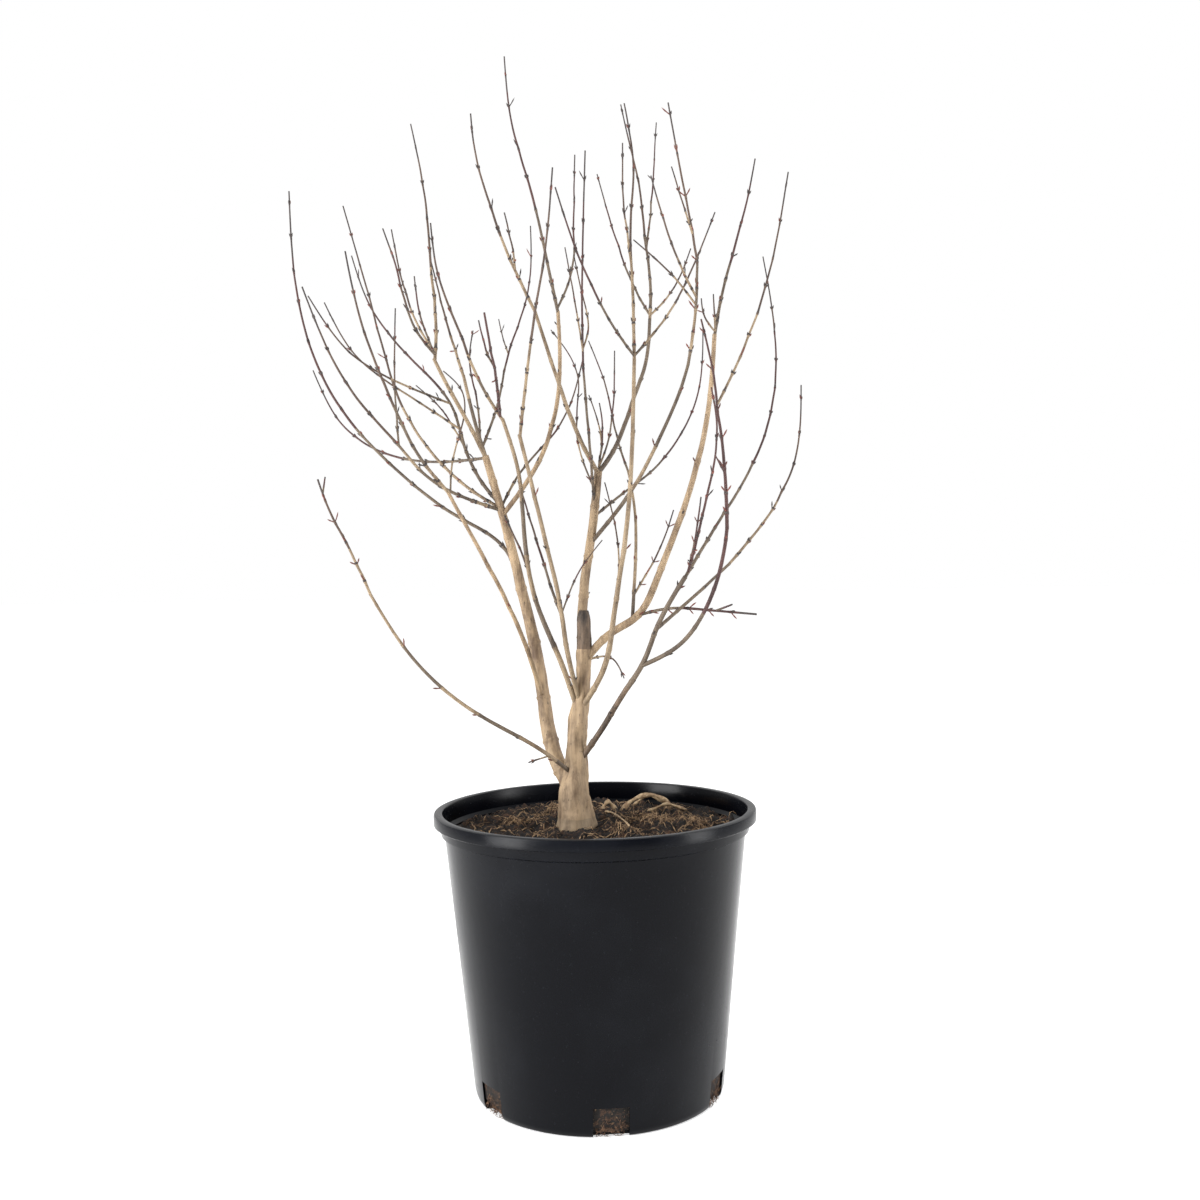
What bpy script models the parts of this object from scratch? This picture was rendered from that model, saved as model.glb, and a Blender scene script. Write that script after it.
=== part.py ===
# Small leafless maple in a black nursery pot, as plain solids.
# Sizes in the tables are millimetres; the scene is in metres with +Z up.
import math
import random

import bmesh
import bpy
import numpy as np
from mathutils import Vector

for old in list(bpy.data.objects):
    bpy.data.objects.remove(old, do_unlink=True)

MM = 0.001
SEED = 11
GAP = 0.3

# Pot
POT_HEIGHT = 244.0
RIM_OUTER = 140.0
RIM_INNER = 132.3
SKIRT_HIGH = 9.5
STEP_Z = 226.0
FOOT_RADIUS = 108.0
WALL = 1.6
FLOOR = 2.2
POT_SIDES = 60
HOLE_COUNT = 6
HOLE_WIDE = 29.0
HOLE_HIGH = 25.0
HOLE_TURN = 5.0

# Soil
SOIL_Z = 226.0

# Where the plant was looked at from: a place is given by how far across and how high
# it stands on the plane through the trunk, and how far behind that plane it lies.
EYE_BACK = 1100.0
EYE_ACROSS = 7.6
EYE_HEIGHT = 445.0

# Trunk: across, height, depth, girth
TRUNK = [
    (-17.4, SOIL_Z + GAP, 0.0, 37.0), (-17.4, 233.0, 0.0, 32.0), (-17.4, 243.0, 0.0, 28.5),
    (-17.6, 258.0, 0.0, 27.0), (-15.6, 276.0, 0.0, 20.5), (-14.5, 300.0, 0.0, 16.8),
    (-12.8, 322.0, 0.0, 17.6), (-8.6, 346.0, 0.0, 13.0), (-7.2, 374.0, -1.0, 13.2),
    (-7.0, 394.0, -2.0, 13.0), (-6.8, 410.0, -3.0, 12.0), (-6.6, 416.0, -3.0, 8.0),
]

# Boughs: name, what it grows from, where it leaves, bends, tip, depth of tip, girth at
# foot and at tip.  A bend may give its own depth as a third value.
BOUGHS = [
    ("stem_left", "trunk", (-21, 256), [(-34, 290), (-43.5, 345), (-58, 425), (-77, 505, 8)],
     (-90, 552), 12, 15.0, 6.0),
    ("leader_right", "trunk", (-8, 372), [(-8.5, 402, 10), (-5, 445, 9), (2.5, 490, 7)],
     (8, 537), 6, 9.5, 7.0),
    ("bough_outer_left", "stem_left", (-45, 338), [(-67, 410), (-90, 458), (-110, 496)],
     (-124, 523), -45, 4.3, 3.0),
    ("bough_low_left", "trunk", (-17, 270),
     [(-36.5, 288, -15), (-60, 303.5, -20), (-99, 326, -27), (-158.5, 379.5, -38)],
     (-193, 434.5), -45, 3.8, 2.4),
    ("bough_mid_left", "trunk", (-13, 325),
     [(-28, 373, -9), (-48, 424.5, -15), (-57.5, 487, -24), (-61, 535, -32)],
     (-74.5, 584), -40, 5.0, 3.0),
    ("bough_mid_right", "trunk", (-12, 334),
     [(-22.5, 386, -13), (-27, 421, -16), (-36.5, 466, -20), (-46, 509, -28)],
     (-60, 570), -36, 4.4, 3.2),
    ("bough_centre_left", "stem_left", (-76, 501),
     [(-56, 526, 14), (-41.5, 550, 16), (-26.5, 598, 18)], (-24.5, 676), 22, 4.4, 3.2),
    ("bough_left_up", "stem_left", (-90, 552), [(-106, 584), (-122, 614)], (-133, 637), -25,
     3.8, 3.0),
    ("bough_left_back", "stem_left", (-90, 552), [(-98.5, 582)], (-107.5, 622), 45, 3.6, 2.8),
    ("bough_cross", "leader_right", (8, 537), [(-4, 558), (-23, 608)], (-45, 678), -45,
     4.0, 2.8),
    ("bough_centre_right", "leader_right", (8, 537), [(22.5, 556), (38, 595), (49, 623)],
     (55, 668), 50, 4.2, 3.0),
    ("bough_slant", "leader_right", (3, 474), [(20.5, 498), (38.5, 522), (61, 563), (83, 613)],
     (88, 629), -35, 3.8, 2.7),
    ("bough_inner_right", "trunk", (-6, 328),
     [(9.5, 364, -5), (19, 408, -12), (32.5, 493, -24), (38, 561, -30)],
     (41, 634), -35, 5.2, 3.0),
    ("bough_right", "trunk", (-3, 372),
     [(20, 398, -7), (37, 408, -10), (57.5, 442, -18), (86, 515, -28), (103.5, 582, -37)],
     (111, 654), -45, 7.2, 3.6),
    ("bough_right_back", "bough_right", (36, 407), [(39, 456, 15), (38.5, 509, 38)],
     (34, 537), 52, 3.2, 2.3),
    ("bough_dark", "trunk", (-8, 281),
     [(10.5, 317), (29.5, 347), (43, 367), (56, 398)], (82.5, 444), -60, 5.4, 3.8),
    ("bough_dark_outer", "bough_dark", (43, 367), [(75.5, 384), (98.5, 413.5), (112, 447)],
     (119.5, 487), -85, 3.8, 3.0),
    ("bough_pale_right", "bough_dark", (56, 398), [(90, 427)], (121.5, 455), -20, 3.2, 2.4),
]

# Sprays: the first row of a name is its stem, rows with a number grow from that stem.
SPRAYS = [
    ("spray_outer_left", "bough_outer_left", (-124, 523),
     [(-145, 549), (-172, 605), (-196, 672)], (-208, 731), -120, 2.8, 1.2),
    ("spray_far_left", "stem_left", (-64, 450),
     [(-76, 473), (-109, 496), (-165, 539), (-219, 602), (-247, 676)],
     (-255.5, 783.5), 25, 3.2, 1.2),
    ("spray_left_low", "stem_left", (-77, 503),
     [(-100, 512.5), (-136, 531), (-165, 562), (-200, 603)], (-246, 701), -70, 3.0, 1.2),
    ("spray_left_low.2", "spray_left_low", (-165, 562), [(-167, 600)], (-165.5, 681), -40,
     1.7, 1.0),
    ("spray_left_low.3", "spray_left_low", (-121, 521), [(-117.5, 551), (-110, 610)],
     (-125, 626), -5, 1.6, 1.0),
    ("spray_left_mid", "stem_left", (-77, 505),
     [(-101, 521), (-133, 551), (-163, 600), (-178, 651)], (-209, 770), 70, 2.8, 1.1),
    ("spray_left_high", "stem_left", (-79, 510),
     [(-92, 527), (-108.5, 563), (-119, 597), (-147, 631), (-189, 687)],
     (-202.5, 727), 140, 3.2, 1.1),
    ("spray_left_high.2", "spray_left_high", (-119, 597), [(-158, 614), (-204, 642)],
     (-241, 693), -20, 2.0, 1.1),
    ("spray_left_high.3", "spray_left_high", (-113, 575), [(-155, 605), (-200, 640)],
     (-227, 687), 50, 2.0, 1.1),
    ("spray_left_high.4", "spray_left_high", (-106, 558), [(-131, 597)], (-149, 614), 90,
     1.7, 1.0),
    ("spray_crown_left", "bough_left_up", (-133, 637),
     [(-130.5, 660), (-133.5, 710), (-137, 768)], (-149, 839.5), 60, 2.8, 1.1),
    ("spray_crown_left.2", "spray_crown_left", (-132.5, 640), [(-147, 668), (-160, 708)],
     (-167.5, 749), 15, 2.0, 1.1),
    ("spray_crown_left.3", "spray_crown_left", (-132.5, 640), [(-148, 662), (-160, 701)],
     (-175, 750), -70, 2.2, 1.1),
    ("spray_crown_left.4", "spray_crown_left", (-132.5, 640), [(-144, 674)],
     (-148.5, 708.5), -110, 1.8, 1.0),
    ("spray_back_left", "bough_left_back", (-107.5, 622), [(-119, 660), (-129.5, 703)],
     (-134, 722), 150, 2.6, 1.2),
    ("spray_inner_back", "bough_left_back", (-95, 565), [(-96.5, 600), (-102, 635)],
     (-98.5, 660.5), 110, 2.0, 1.1),
    ("spray_level_left", "stem_left", (-90, 552), [(-120, 547.5), (-162, 551), (-209, 576)],
     (-238, 628.5), 95, 2.5, 1.1),
    ("spray_mid_front", "bough_mid_left", (-74.5, 584),
     [(-90, 609), (-112.5, 665), (-128.5, 712)], (-133.5, 754), -150, 2.6, 1.1),
    ("spray_mid_front.2", "spray_mid_front", (-76, 587), [(-78.5, 612), (-84.5, 651)],
     (-88.5, 676), -185, 2.4, 1.4),
    ("spray_mid_front.3", "spray_mid_front.2", (-81, 629), [(-86, 640)], (-93.5, 669.5),
     -165, 1.6, 1.0),
    ("spray_mid_low", "bough_mid_left", (-48, 424.5), [(-55, 453), (-66, 481)],
     (-74, 500), -19, 2.2, 1.3),
    ("spray_mid_inner", "bough_mid_right", (-27, 409), [(-36.5, 443), (-48.5, 485)],
     (-62, 530), -6, 2.5, 1.2),
    ("spray_front_up", "bough_mid_right", (-60, 570),
     [(-53.5, 615), (-43.5, 680), (-34, 734)], (-27, 800), -150, 2.6, 1.1),
    ("spray_top", "bough_centre_left", (-24.5, 676),
     [(-34.5, 726), (-45.5, 778), (-60.5, 833)], (-67, 896), 10, 2.8, 1.1),
    ("spray_top.2", "spray_top", (-25, 679), [(-13, 706), (-9.5, 750)], (-7.5, 810.5), 70,
     2.0, 1.1),
    ("spray_crossing", "stem_left", (-77, 507), [(-59, 538), (-31, 569), (-12, 604)],
     (-3.5, 635), 65, 2.2, 1.1),
    ("spray_left_inner", "bough_left_back", (-93, 560),
     [(-79, 594), (-68, 640), (-50.5, 692)], (-47, 750), 185, 2.3, 1.1),
    ("spray_left_inner.2", "spray_left_inner", (-68, 640), [(-73, 655)], (-76, 670), 160,
     1.4, 0.9),
    ("spray_low_tip", "bough_low_left", (-193, 434.5), [(-213, 480), (-227, 508.5)],
     (-236, 534), -60, 2.3, 1.5),
    ("spray_low_tip.2", "spray_low_tip", (-231, 521), [], (-229.5, 536), -50, 1.6, 1.1),
    ("spray_cross_top", "bough_cross", (-45, 678), [(-67, 726), (-83.5, 774), (-95, 824)],
     (-97, 847.5), -80, 2.6, 1.1),
    ("spray_cross_top.2", "spray_cross_top", (-60.5, 712), [(-63, 732)], (-69.5, 762), -110,
     1.6, 1.0),
    ("spray_centre", "bough_centre_right", (55, 668),
     [(56, 698), (53, 728), (48.5, 777), (37.5, 831)], (33, 853), 110, 2.8, 1.1),
    ("spray_centre.2", "spray_centre", (53, 728), [(59.5, 781), (62, 818)], (63.5, 837),
     145, 1.9, 1.0),
    ("spray_centre.3", "spray_centre", (55, 671), [(43, 693), (31, 724)], (11.5, 793.5),
     170, 2.1, 1.1),
    ("spray_centre.4", "spray_centre", (55, 671), [(70.5, 686)], (91.5, 728), 120, 1.9, 1.1),
    ("spray_fork", "leader_right", (8, 537), [(11, 556), (12.5, 575)], (10, 596), 30,
     2.0, 1.1),
    ("spray_fork.2", "spray_fork", (11.5, 560), [(8, 581)], (1, 603), 45, 1.5, 0.9),
    ("spray_fork.3", "spray_fork", (9, 541), [(15.5, 558), (20.5, 582)], (24, 641), 10,
     1.7, 1.0),
    ("spray_central", "leader_right", (3, 505), [(0.5, 563), (-3.5, 643), (-3, 704)],
     (1.5, 814), -60, 2.4, 1.1),
    ("spray_central.2", "spray_central", (-3.5, 643), [(1.5, 661), (-3, 690)],
     (-10, 725), -40, 1.5, 0.9),
    ("spray_central.3", "spray_central", (-3.5, 640), [(-9.5, 684)], (-17.5, 731), -85,
     1.5, 0.9),
    ("spray_thin_back", "leader_right", (4, 518), [(-10.5, 581), (-8, 618)], (-31, 660),
     45, 1.6, 0.9),
    ("spray_slant", "bough_slant", (88, 629), [(96, 686), (95, 727), (88.5, 768)],
     (74, 854), -100, 2.6, 1.1),
    ("spray_slant.2", "spray_slant", (93, 740), [(80.5, 784)], (76, 799), -130, 1.5, 0.9),
    ("spray_slant.3", "spray_slant", (96, 686), [(83.5, 711)], (58, 791.5), -150, 1.9, 1.0),
    ("spray_slant.4", "spray_slant", (95, 680), [(80.5, 699)], (42, 736.5), -65, 1.7, 1.0),
    ("spray_slant_low", "leader_right", (4, 497),
     [(33, 520), (56, 537.5), (78, 564), (93.5, 595)], (101, 660), 150, 2.3, 1.1),
    ("spray_inner_top", "bough_inner_right", (41, 634),
     [(40.5, 693), (40, 753), (43, 797)], (36, 854), -65, 2.8, 1.1),
    ("spray_inner_top.2", "spray_inner_top", (39.8, 714), [(34, 773)], (34, 820), -90,
     1.7, 1.0),
    ("spray_inner_top.3", "spray_inner_top", (41, 637), [(24.5, 660), (9, 689), (-7.5, 728)],
     (-25, 783), -140, 2.1, 1.1),
    ("spray_inner_top.4", "spray_inner_top", (41, 637), [(65, 664), (93, 712)],
     (113, 759), 10, 2.1, 1.1),
    ("spray_thin_front", "bough_inner_right", (23, 427), [(24.5, 459), (22.5, 485)],
     (13.5, 527), 14, 1.7, 1.0),
    ("spray_right_top", "bough_right", (111, 654), [(117, 683), (126, 717), (141, 769)],
     (148.5, 804.5), -30, 2.7, 1.1),
    ("spray_right_top.2", "spray_right_top", (111, 657), [(103, 668)], (100, 685), -75,
     1.6, 1.0),
    ("spray_right_top.3", "spray_right_top", (111, 657), [], (110.5, 688.5), -62, 1.6, 1.0),
    ("spray_right_back", "bough_right_back", (34, 537), [(23, 573), (17.5, 603)],
     (1.5, 650), 130, 2.0, 1.0),
    ("spray_right_low", "bough_right_back", (38.5, 428), [(61.5, 471)], (73, 502), 48,
     1.9, 1.1),
    ("spray_level", "bough_right", (40, 411), [(69, 416.5), (97, 415)], (144, 410), -60,
     2.6, 1.6),
    ("spray_level.2", "spray_level", (108, 412.5), [], (123, 419), -54, 1.9, 1.4),
    ("spray_dark_top", "bough_dark", (82.5, 444),
     [(101, 474), (124, 509), (151, 560), (164, 632)], (154, 720), 120, 2.8, 1.1),
    ("spray_dark_top.2", "spray_dark_top", (84, 447), [(92, 480)], (97, 513), -45, 1.9, 1.2),
    ("spray_dark_top.3", "spray_dark_top", (84, 447),
     [(97, 492), (103.5, 519), (112, 568)], (107.5, 608), -170, 2.3, 1.1),
    ("spray_dark_outer", "bough_dark_outer", (119.5, 487),
     [(118, 538), (115, 570), (108, 627)], (99.5, 667), -110, 3.0, 1.3),
    ("spray_dark_outer.2", "spray_dark_outer", (113, 593), [(137, 643), (161.5, 715)],
     (177, 792.5), -50, 2.1, 1.1),
    ("spray_dark_outer.3", "spray_dark_outer", (118, 534), [], (110.5, 548), -116, 1.6, 1.0),
    ("spray_far_right", "bough_pale_right", (121.5, 455), [(159.5, 502), (178, 540)],
     (185.5, 608.5), 40, 2.4, 1.1),
    ("spray_hanging", "trunk", (-3, 371), [(16, 374.5)], (27.5, 356), -22, 1.8, 1.0),
    ("spray_diagonal", "bough_mid_right", (-27, 414), [(-10, 450)], (10.5, 477), -22,
     1.5, 0.9),
    ("spray_foot", "bough_low_left", (-39, 290), [], (-57.5, 284), -20, 1.6, 1.1),
]

# How finely the limbs are drawn
BOUGH_SIDES = 6
BOUGH_STEP = 15.0
TWIG_SIDES = 3
TWIG_STEP = 24.0
TWIG_FULL = 1.18
CLEAR = 1.1
SPUR_SPACE = (46.0, 78.0)
SPUR_LONG = (4.5, 8.0)

BARK = (0.50, 0.40, 0.28)
BARK_GREY = (0.27, 0.22, 0.17)
SHOOT = (0.16, 0.085, 0.06)
BLACK = (0.012, 0.013, 0.016)
EARTH = (0.05, 0.03, 0.018)


def collection(name, hidden=False):
    made = bpy.data.collections.new(name)
    bpy.context.scene.collection.children.link(made)
    made.hide_render = hidden
    return made


PLANT = collection("potted_maple")
CUTTERS = collection("cutters", True)


def material(name, colour, rough):
    made = bpy.data.materials.new(name)
    made.use_nodes = True
    shader = made.node_tree.nodes["Principled BSDF"]
    shader.inputs["Base Color"].default_value = (*colour, 1.0)
    shader.inputs["Roughness"].default_value = rough
    return made


MAT_BARK = material("bark", BARK, 0.8)
MAT_GREY = material("grey_bark", BARK_GREY, 0.8)
MAT_SHOOT = material("shoot", SHOOT, 0.6)
MAT_POT = material("pot_plastic", BLACK, 0.35)
MAT_SOIL = material("soil", EARTH, 0.95)


def place(across, height, depth):
    grow = (EYE_BACK + depth) / EYE_BACK
    return np.array([EYE_ACROSS + (across - EYE_ACROSS) * grow, depth,
                     EYE_HEIGHT + (height - EYE_HEIGHT) * grow])


def seen(point):
    grow = (EYE_BACK + point[1]) / EYE_BACK
    return (EYE_ACROSS + (point[0] - EYE_ACROSS) / grow,
            EYE_HEIGHT + (point[2] - EYE_HEIGHT) / grow)


def spline(knots, at):
    """Natural cubic through the knots, by chord length; at runs from 0 to 1."""
    knots = np.asarray(knots, float)
    chord = np.r_[0.0, np.cumsum(np.linalg.norm(np.diff(knots[:, :2], axis=0), axis=1))]
    chord /= chord[-1]
    count = len(knots)
    if count == 2:
        return knots[0] + np.outer(at, knots[1] - knots[0])
    step = np.diff(chord)
    rows = np.zeros((count, count))
    rows[0, 0] = rows[-1, -1] = 1.0
    right = np.zeros((count, knots.shape[1]))
    for i in range(1, count - 1):
        rows[i, i - 1:i + 2] = step[i - 1], 2 * (step[i - 1] + step[i]), step[i]
        right[i] = 6 * ((knots[i + 1] - knots[i]) / step[i]
                        - (knots[i] - knots[i - 1]) / step[i - 1])
    curve = np.linalg.solve(rows, right)
    out = []
    for t in at:
        i = min(int(np.searchsorted(chord, t, side="right")) - 1, count - 2)
        a = (chord[i + 1] - t) / step[i]
        b = (t - chord[i]) / step[i]
        out.append(a * knots[i] + b * knots[i + 1] + step[i] ** 2 / 6
                   * ((a ** 3 - a) * curve[i] + (b ** 3 - b) * curve[i + 1]))
    return np.array(out)


class Limb:
    """A tapering limb: its centre line every 2 mm, and its half girth there."""

    def __init__(self, name, line, half):
        self.name = name
        run = np.r_[0.0, np.cumsum(np.linalg.norm(np.diff(line, axis=0), axis=1))]
        self.long = run[-1]
        self.count = max(3, int(self.long / 2.0))
        at = np.linspace(0.0, self.long, self.count)
        self.line = np.array([np.interp(at, run, line[:, k]) for k in range(3)]).T
        self.half = np.interp(at, run, half)

    def nearest(self, across, height):
        spots = np.array([seen(p) for p in self.line])
        return int(np.argmin(np.hypot(spots[:, 0] - across, spots[:, 1] - height)))

    def rings(self, step):
        many = max(2, int(round(self.long / step)) + 1)
        pick = np.unique(np.linspace(0, self.count - 1, many).round().astype(int))
        return self.line[pick], self.half[pick]


LIMBS = {}


def clearance(line, half, others):
    """Least gap of each point of a line to the limbs already there."""
    least = np.full(len(line), 1e9)
    for limb in others:
        low = limb.line.min(axis=0) - 12
        high = limb.line.max(axis=0) + 12
        near = np.all((line > low) & (line < high), axis=1)
        if not near.any():
            continue
        gap = np.linalg.norm(line[near][:, None] - limb.line[None], axis=2) - limb.half
        least[near] = np.minimum(least[near], gap.min(axis=1) - half[near])
    return least


def grow(row):
    """One limb from its row; it bows in depth until it is clear of those before it."""
    name, parent, leave, bends, tip, depth, girth, girth_tip = row
    source = LIMBS[parent]
    start = source.nearest(*leave)
    if start > source.count - 3:
        start = source.count - 2
    foot = source.line[start]
    spots = [(*seen(foot), foot[1])] + list(bends) + [(*tip, depth)]
    across = np.array([s[:2] for s in spots])
    chord = np.r_[0.0, np.cumsum(np.linalg.norm(np.diff(across, axis=0), axis=1))]
    chord /= chord[-1]
    known = [i for i, s in enumerate(spots) if len(s) == 3]
    at = np.linspace(0.0, 1.0, 61)
    flat = spline(across, at)
    if len(known) > 2:
        deep = spline(np.c_[chord[known], [0.0] * len(known), [spots[i][2] for i in known]],
                      at)[:, 2]
    else:
        deep = foot[1] + (depth - foot[1]) * (1.0 - (1.0 - at) ** 1.5)
    half = 0.5 * (girth + (girth_tip - girth) * at ** 0.9)
    best = None
    for bow in sorted(range(-34, 35, 2), key=lambda b: (abs(b), b)):
        sway = deep + bow * np.sin(np.pi * at ** 0.75)
        line = np.array([place(f[0], f[1], d) for f, d in zip(flat, sway)])
        limb = Limb(name, line, half)
        least = clearance(limb.line, limb.half, LIMBS.values())
        free = np.nonzero(least > 0.4)[0]
        first = free[0] if len(free) else len(least) - 1
        rest = least[first + 4:]
        worst = rest.min() if len(rest) else 9.0
        score = min(worst, CLEAR) - 0.02 * first
        if best is None or score > best[0] + 0.05:
            best = (score, limb, bow, worst, first)
        if worst >= CLEAR and first * 2.0 < 18.0:
            break
    LIMBS[name] = best[1]
    if best[3] < CLEAR:
        print("close:", name, "bow", best[2], "gap %.2f" % best[3], "first", best[4])


TRUNK_AT = np.linspace(0.0, 1.0, 80)
TRUNK_KNOTS = np.array(TRUNK)
TRUNK_RUN = (TRUNK_KNOTS[:, 1] - TRUNK_KNOTS[0, 1]) / (TRUNK_KNOTS[-1, 1] - TRUNK_KNOTS[0, 1])
TRUNK_LINE = np.array([[np.interp(t, TRUNK_RUN, TRUNK_KNOTS[:, k]) for k in range(4)]
                       for t in TRUNK_AT])
LIMBS["trunk"] = Limb("trunk", np.array([place(*p[:3]) for p in TRUNK_LINE]),
                      TRUNK_LINE[:, 3] / 2)
for entry in BOUGHS + SPRAYS:
    grow(entry)


# Solids
def bevel_section(sides):
    """A closed ring used as the section of a tube."""
    data = bpy.data.curves.new("section", "CURVE")
    data.dimensions = "2D"
    ring = data.splines.new("POLY")
    ring.points.add(sides - 1)
    for k in range(sides):
        turn = 2 * math.pi * k / sides
        ring.points[k].co = (MM * math.cos(turn), MM * math.sin(turn), 0.0, 1.0)
    ring.use_cyclic_u = True
    made = bpy.data.objects.new("section", data)
    CUTTERS.objects.link(made)
    return made


SECTIONS = {sides: bevel_section(sides) for sides in (TWIG_SIDES, BOUGH_SIDES, 10)}


def tube(name, line, half, sides, group):
    """A tapering tube with filled ends, as a mesh."""
    data = bpy.data.curves.new(name, "CURVE")
    data.dimensions = "3D"
    data.bevel_mode = "OBJECT"
    data.bevel_object = SECTIONS[sides]
    data.use_fill_caps = True
    spine = data.splines.new("POLY")
    spine.points.add(len(line) - 1)
    for point, spot, size in zip(spine.points, line, half):
        point.co = (*(spot * MM), 1.0)
        point.radius = size
    source = bpy.data.objects.new(name, data)
    group.objects.link(source)
    bpy.context.view_layer.update()
    ready = source.evaluated_get(bpy.context.evaluated_depsgraph_get())
    mesh = bpy.data.meshes.new_from_object(ready)
    bpy.data.objects.remove(source, do_unlink=True)
    made = bpy.data.objects.new(name, mesh)
    group.objects.link(made)
    shape = bmesh.new()
    shape.from_mesh(mesh)
    bmesh.ops.remove_doubles(shape, verts=shape.verts, dist=1e-6)
    bmesh.ops.triangulate(shape, faces=shape.faces)
    bmesh.ops.recalc_face_normals(shape, faces=shape.faces)
    shape.to_mesh(mesh)
    shape.free()
    return made


def boolean(target, operation, group, solver="EXACT"):
    """Apply one Boolean with a whole collection, then clear the collection."""
    mod = target.modifiers.new("joined", "BOOLEAN")
    mod.operation = operation
    mod.operand_type = "COLLECTION"
    mod.collection = group
    mod.solver = solver
    bpy.context.view_layer.update()
    ready = target.evaluated_get(bpy.context.evaluated_depsgraph_get())
    mesh = bpy.data.meshes.new_from_object(ready)
    target.modifiers.clear()
    target.data = mesh
    for item in list(group.objects):
        bpy.data.objects.remove(item, do_unlink=True)
    bpy.data.collections.remove(group)


def keep_largest(target):
    """Loose scrap left by a cut is dropped."""
    shape = bmesh.new()
    shape.from_mesh(target.data)
    bmesh.ops.remove_doubles(shape, verts=shape.verts, dist=2e-6)
    left = set(shape.faces)
    groups = []
    while left:
        front = [left.pop()]
        group = list(front)
        while front:
            for edge in front.pop().edges:
                for face in edge.link_faces:
                    if face in left:
                        left.discard(face)
                        group.append(face)
                        front.append(face)
        groups.append(group)
    best = max(groups, key=lambda g: sum(face.calc_area() for face in g))
    drop = [face for group in groups if group is not best for face in group]
    bmesh.ops.delete(shape, geom=drop, context="FACES")
    bmesh.ops.triangulate(shape, faces=shape.faces)
    shape.to_mesh(target.data)
    shape.free()


def limb_shape(name):
    limb = LIMBS[name]
    if name == "trunk":
        return [(limb.line[::4], limb.half[::4], 10)]
    bough = not name.startswith("spray")
    line, half = limb.rings(BOUGH_STEP if bough else TWIG_STEP)
    return [(line, half if bough else half * TWIG_FULL, BOUGH_SIDES if bough else TWIG_SIDES)]


def spurs(name, rule):
    """Short spurs by a seeded rule; one that would touch another limb is skipped."""
    limb = LIMBS[name]
    made = []
    at = 30.0
    turn = rule.uniform(0, math.pi)
    while at < limb.long - 20.0:
        i = int(at / limb.long * (limb.count - 1))
        along = limb.line[i + 1] - limb.line[i - 1]
        along /= np.linalg.norm(along)
        side = np.cross(along, (math.cos(turn), math.sin(turn), 0.1))
        side /= np.linalg.norm(side)
        long = rule.uniform(*SPUR_LONG)
        tip = limb.line[i] + (side * 0.75 + along * 0.7) * long
        line = np.array([limb.line[i], tip])
        half = np.array([min(0.9, limb.half[i] * 0.8), 0.4])
        others = [o for o in LIMBS.values() if o.name != name]
        if clearance(line, half, others).min() > 1.5:
            made.append((line, half * TWIG_FULL, TWIG_SIDES))
        at += rule.uniform(*SPUR_SPACE)
        turn += math.pi / 2
    return made


NODES = {}
for key in LIMBS:
    NODES.setdefault(key.split(".")[0], []).append(key)
SHAPES = {}
RULE = random.Random(SEED)
for key, members in NODES.items():
    SHAPES[key] = [shape for member in members for shape in limb_shape(member)]
    if key.startswith("spray"):
        for member in members:
            SHAPES[key] += spurs(member, RULE)


def fatter(shape):
    """The tube that is cut away round a limb, the gap wider on every side."""
    line, half, sides = shape
    more = GAP / math.cos(math.pi / sides) + 0.02
    line = line.copy()
    for end, inner in ((0, 1), (-1, -2)):
        out = line[end] - line[inner]
        line[end] += out / np.linalg.norm(out) * GAP
    return line, half + more, sides


def near(shapes, shape):
    """Whether a tube comes close to any of the tubes of a piece."""
    line, half, sides = shape
    low = line.min(axis=0) - half.max() - 1
    high = line.max(axis=0) + half.max() + 1
    for other, thick, count in shapes:
        top = other.max(axis=0) + thick.max()
        bottom = other.min(axis=0) - thick.max()
        if np.all(top > low) and np.all(bottom < high):
            return True
    return False


DONE = []
for key, shapes in SHAPES.items():
    piece = tube(key, *shapes[0], PLANT)
    if len(shapes) > 1:
        twigs = collection("twigs")
        for shape in shapes[1:]:
            tube("twig", *shape, twigs)
        boolean(piece, "UNION", twigs)
    cuts = [fatter(s) for other in DONE for s in SHAPES[other] if near(shapes, s)]
    if cuts:
        cutting = collection("cutting")
        for cut in cuts:
            tube("cut", *cut, cutting)
        boolean(piece, "DIFFERENCE", cutting)
    keep_largest(piece)
    tone = MAT_SHOOT if key.startswith("spray") else MAT_GREY
    if key in ("trunk", "stem_left", "leader_right", "bough_right", "bough_outer_left"):
        tone = MAT_BARK
    piece.data.materials.clear()
    piece.data.materials.append(tone)
    DONE.append(key)


def turned(name, profile, tone):
    """A turned piece: a profile at +X carried round with a Screw."""
    data = bpy.data.meshes.new(name)
    data.from_pydata([(r * MM, 0.0, z * MM) for r, z in profile],
                     [(k, k + 1) for k in range(len(profile) - 1)], [])
    made = bpy.data.objects.new(name, data)
    PLANT.objects.link(made)
    screw = made.modifiers.new("turn", "SCREW")
    screw.steps = screw.render_steps = POT_SIDES
    screw.use_merge_vertices = True
    screw.merge_threshold = 0.00001
    screw.use_normal_calculate = True
    made.data.materials.append(tone)
    return made


# Pot: rolled rim, folded skirt, one step, straight wall, floor and six drain holes
def wall_radius(z):
    return FOOT_RADIUS + (RIM_INNER - WALL + 1.6 - FOOT_RADIUS) * z / POT_HEIGHT


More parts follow.
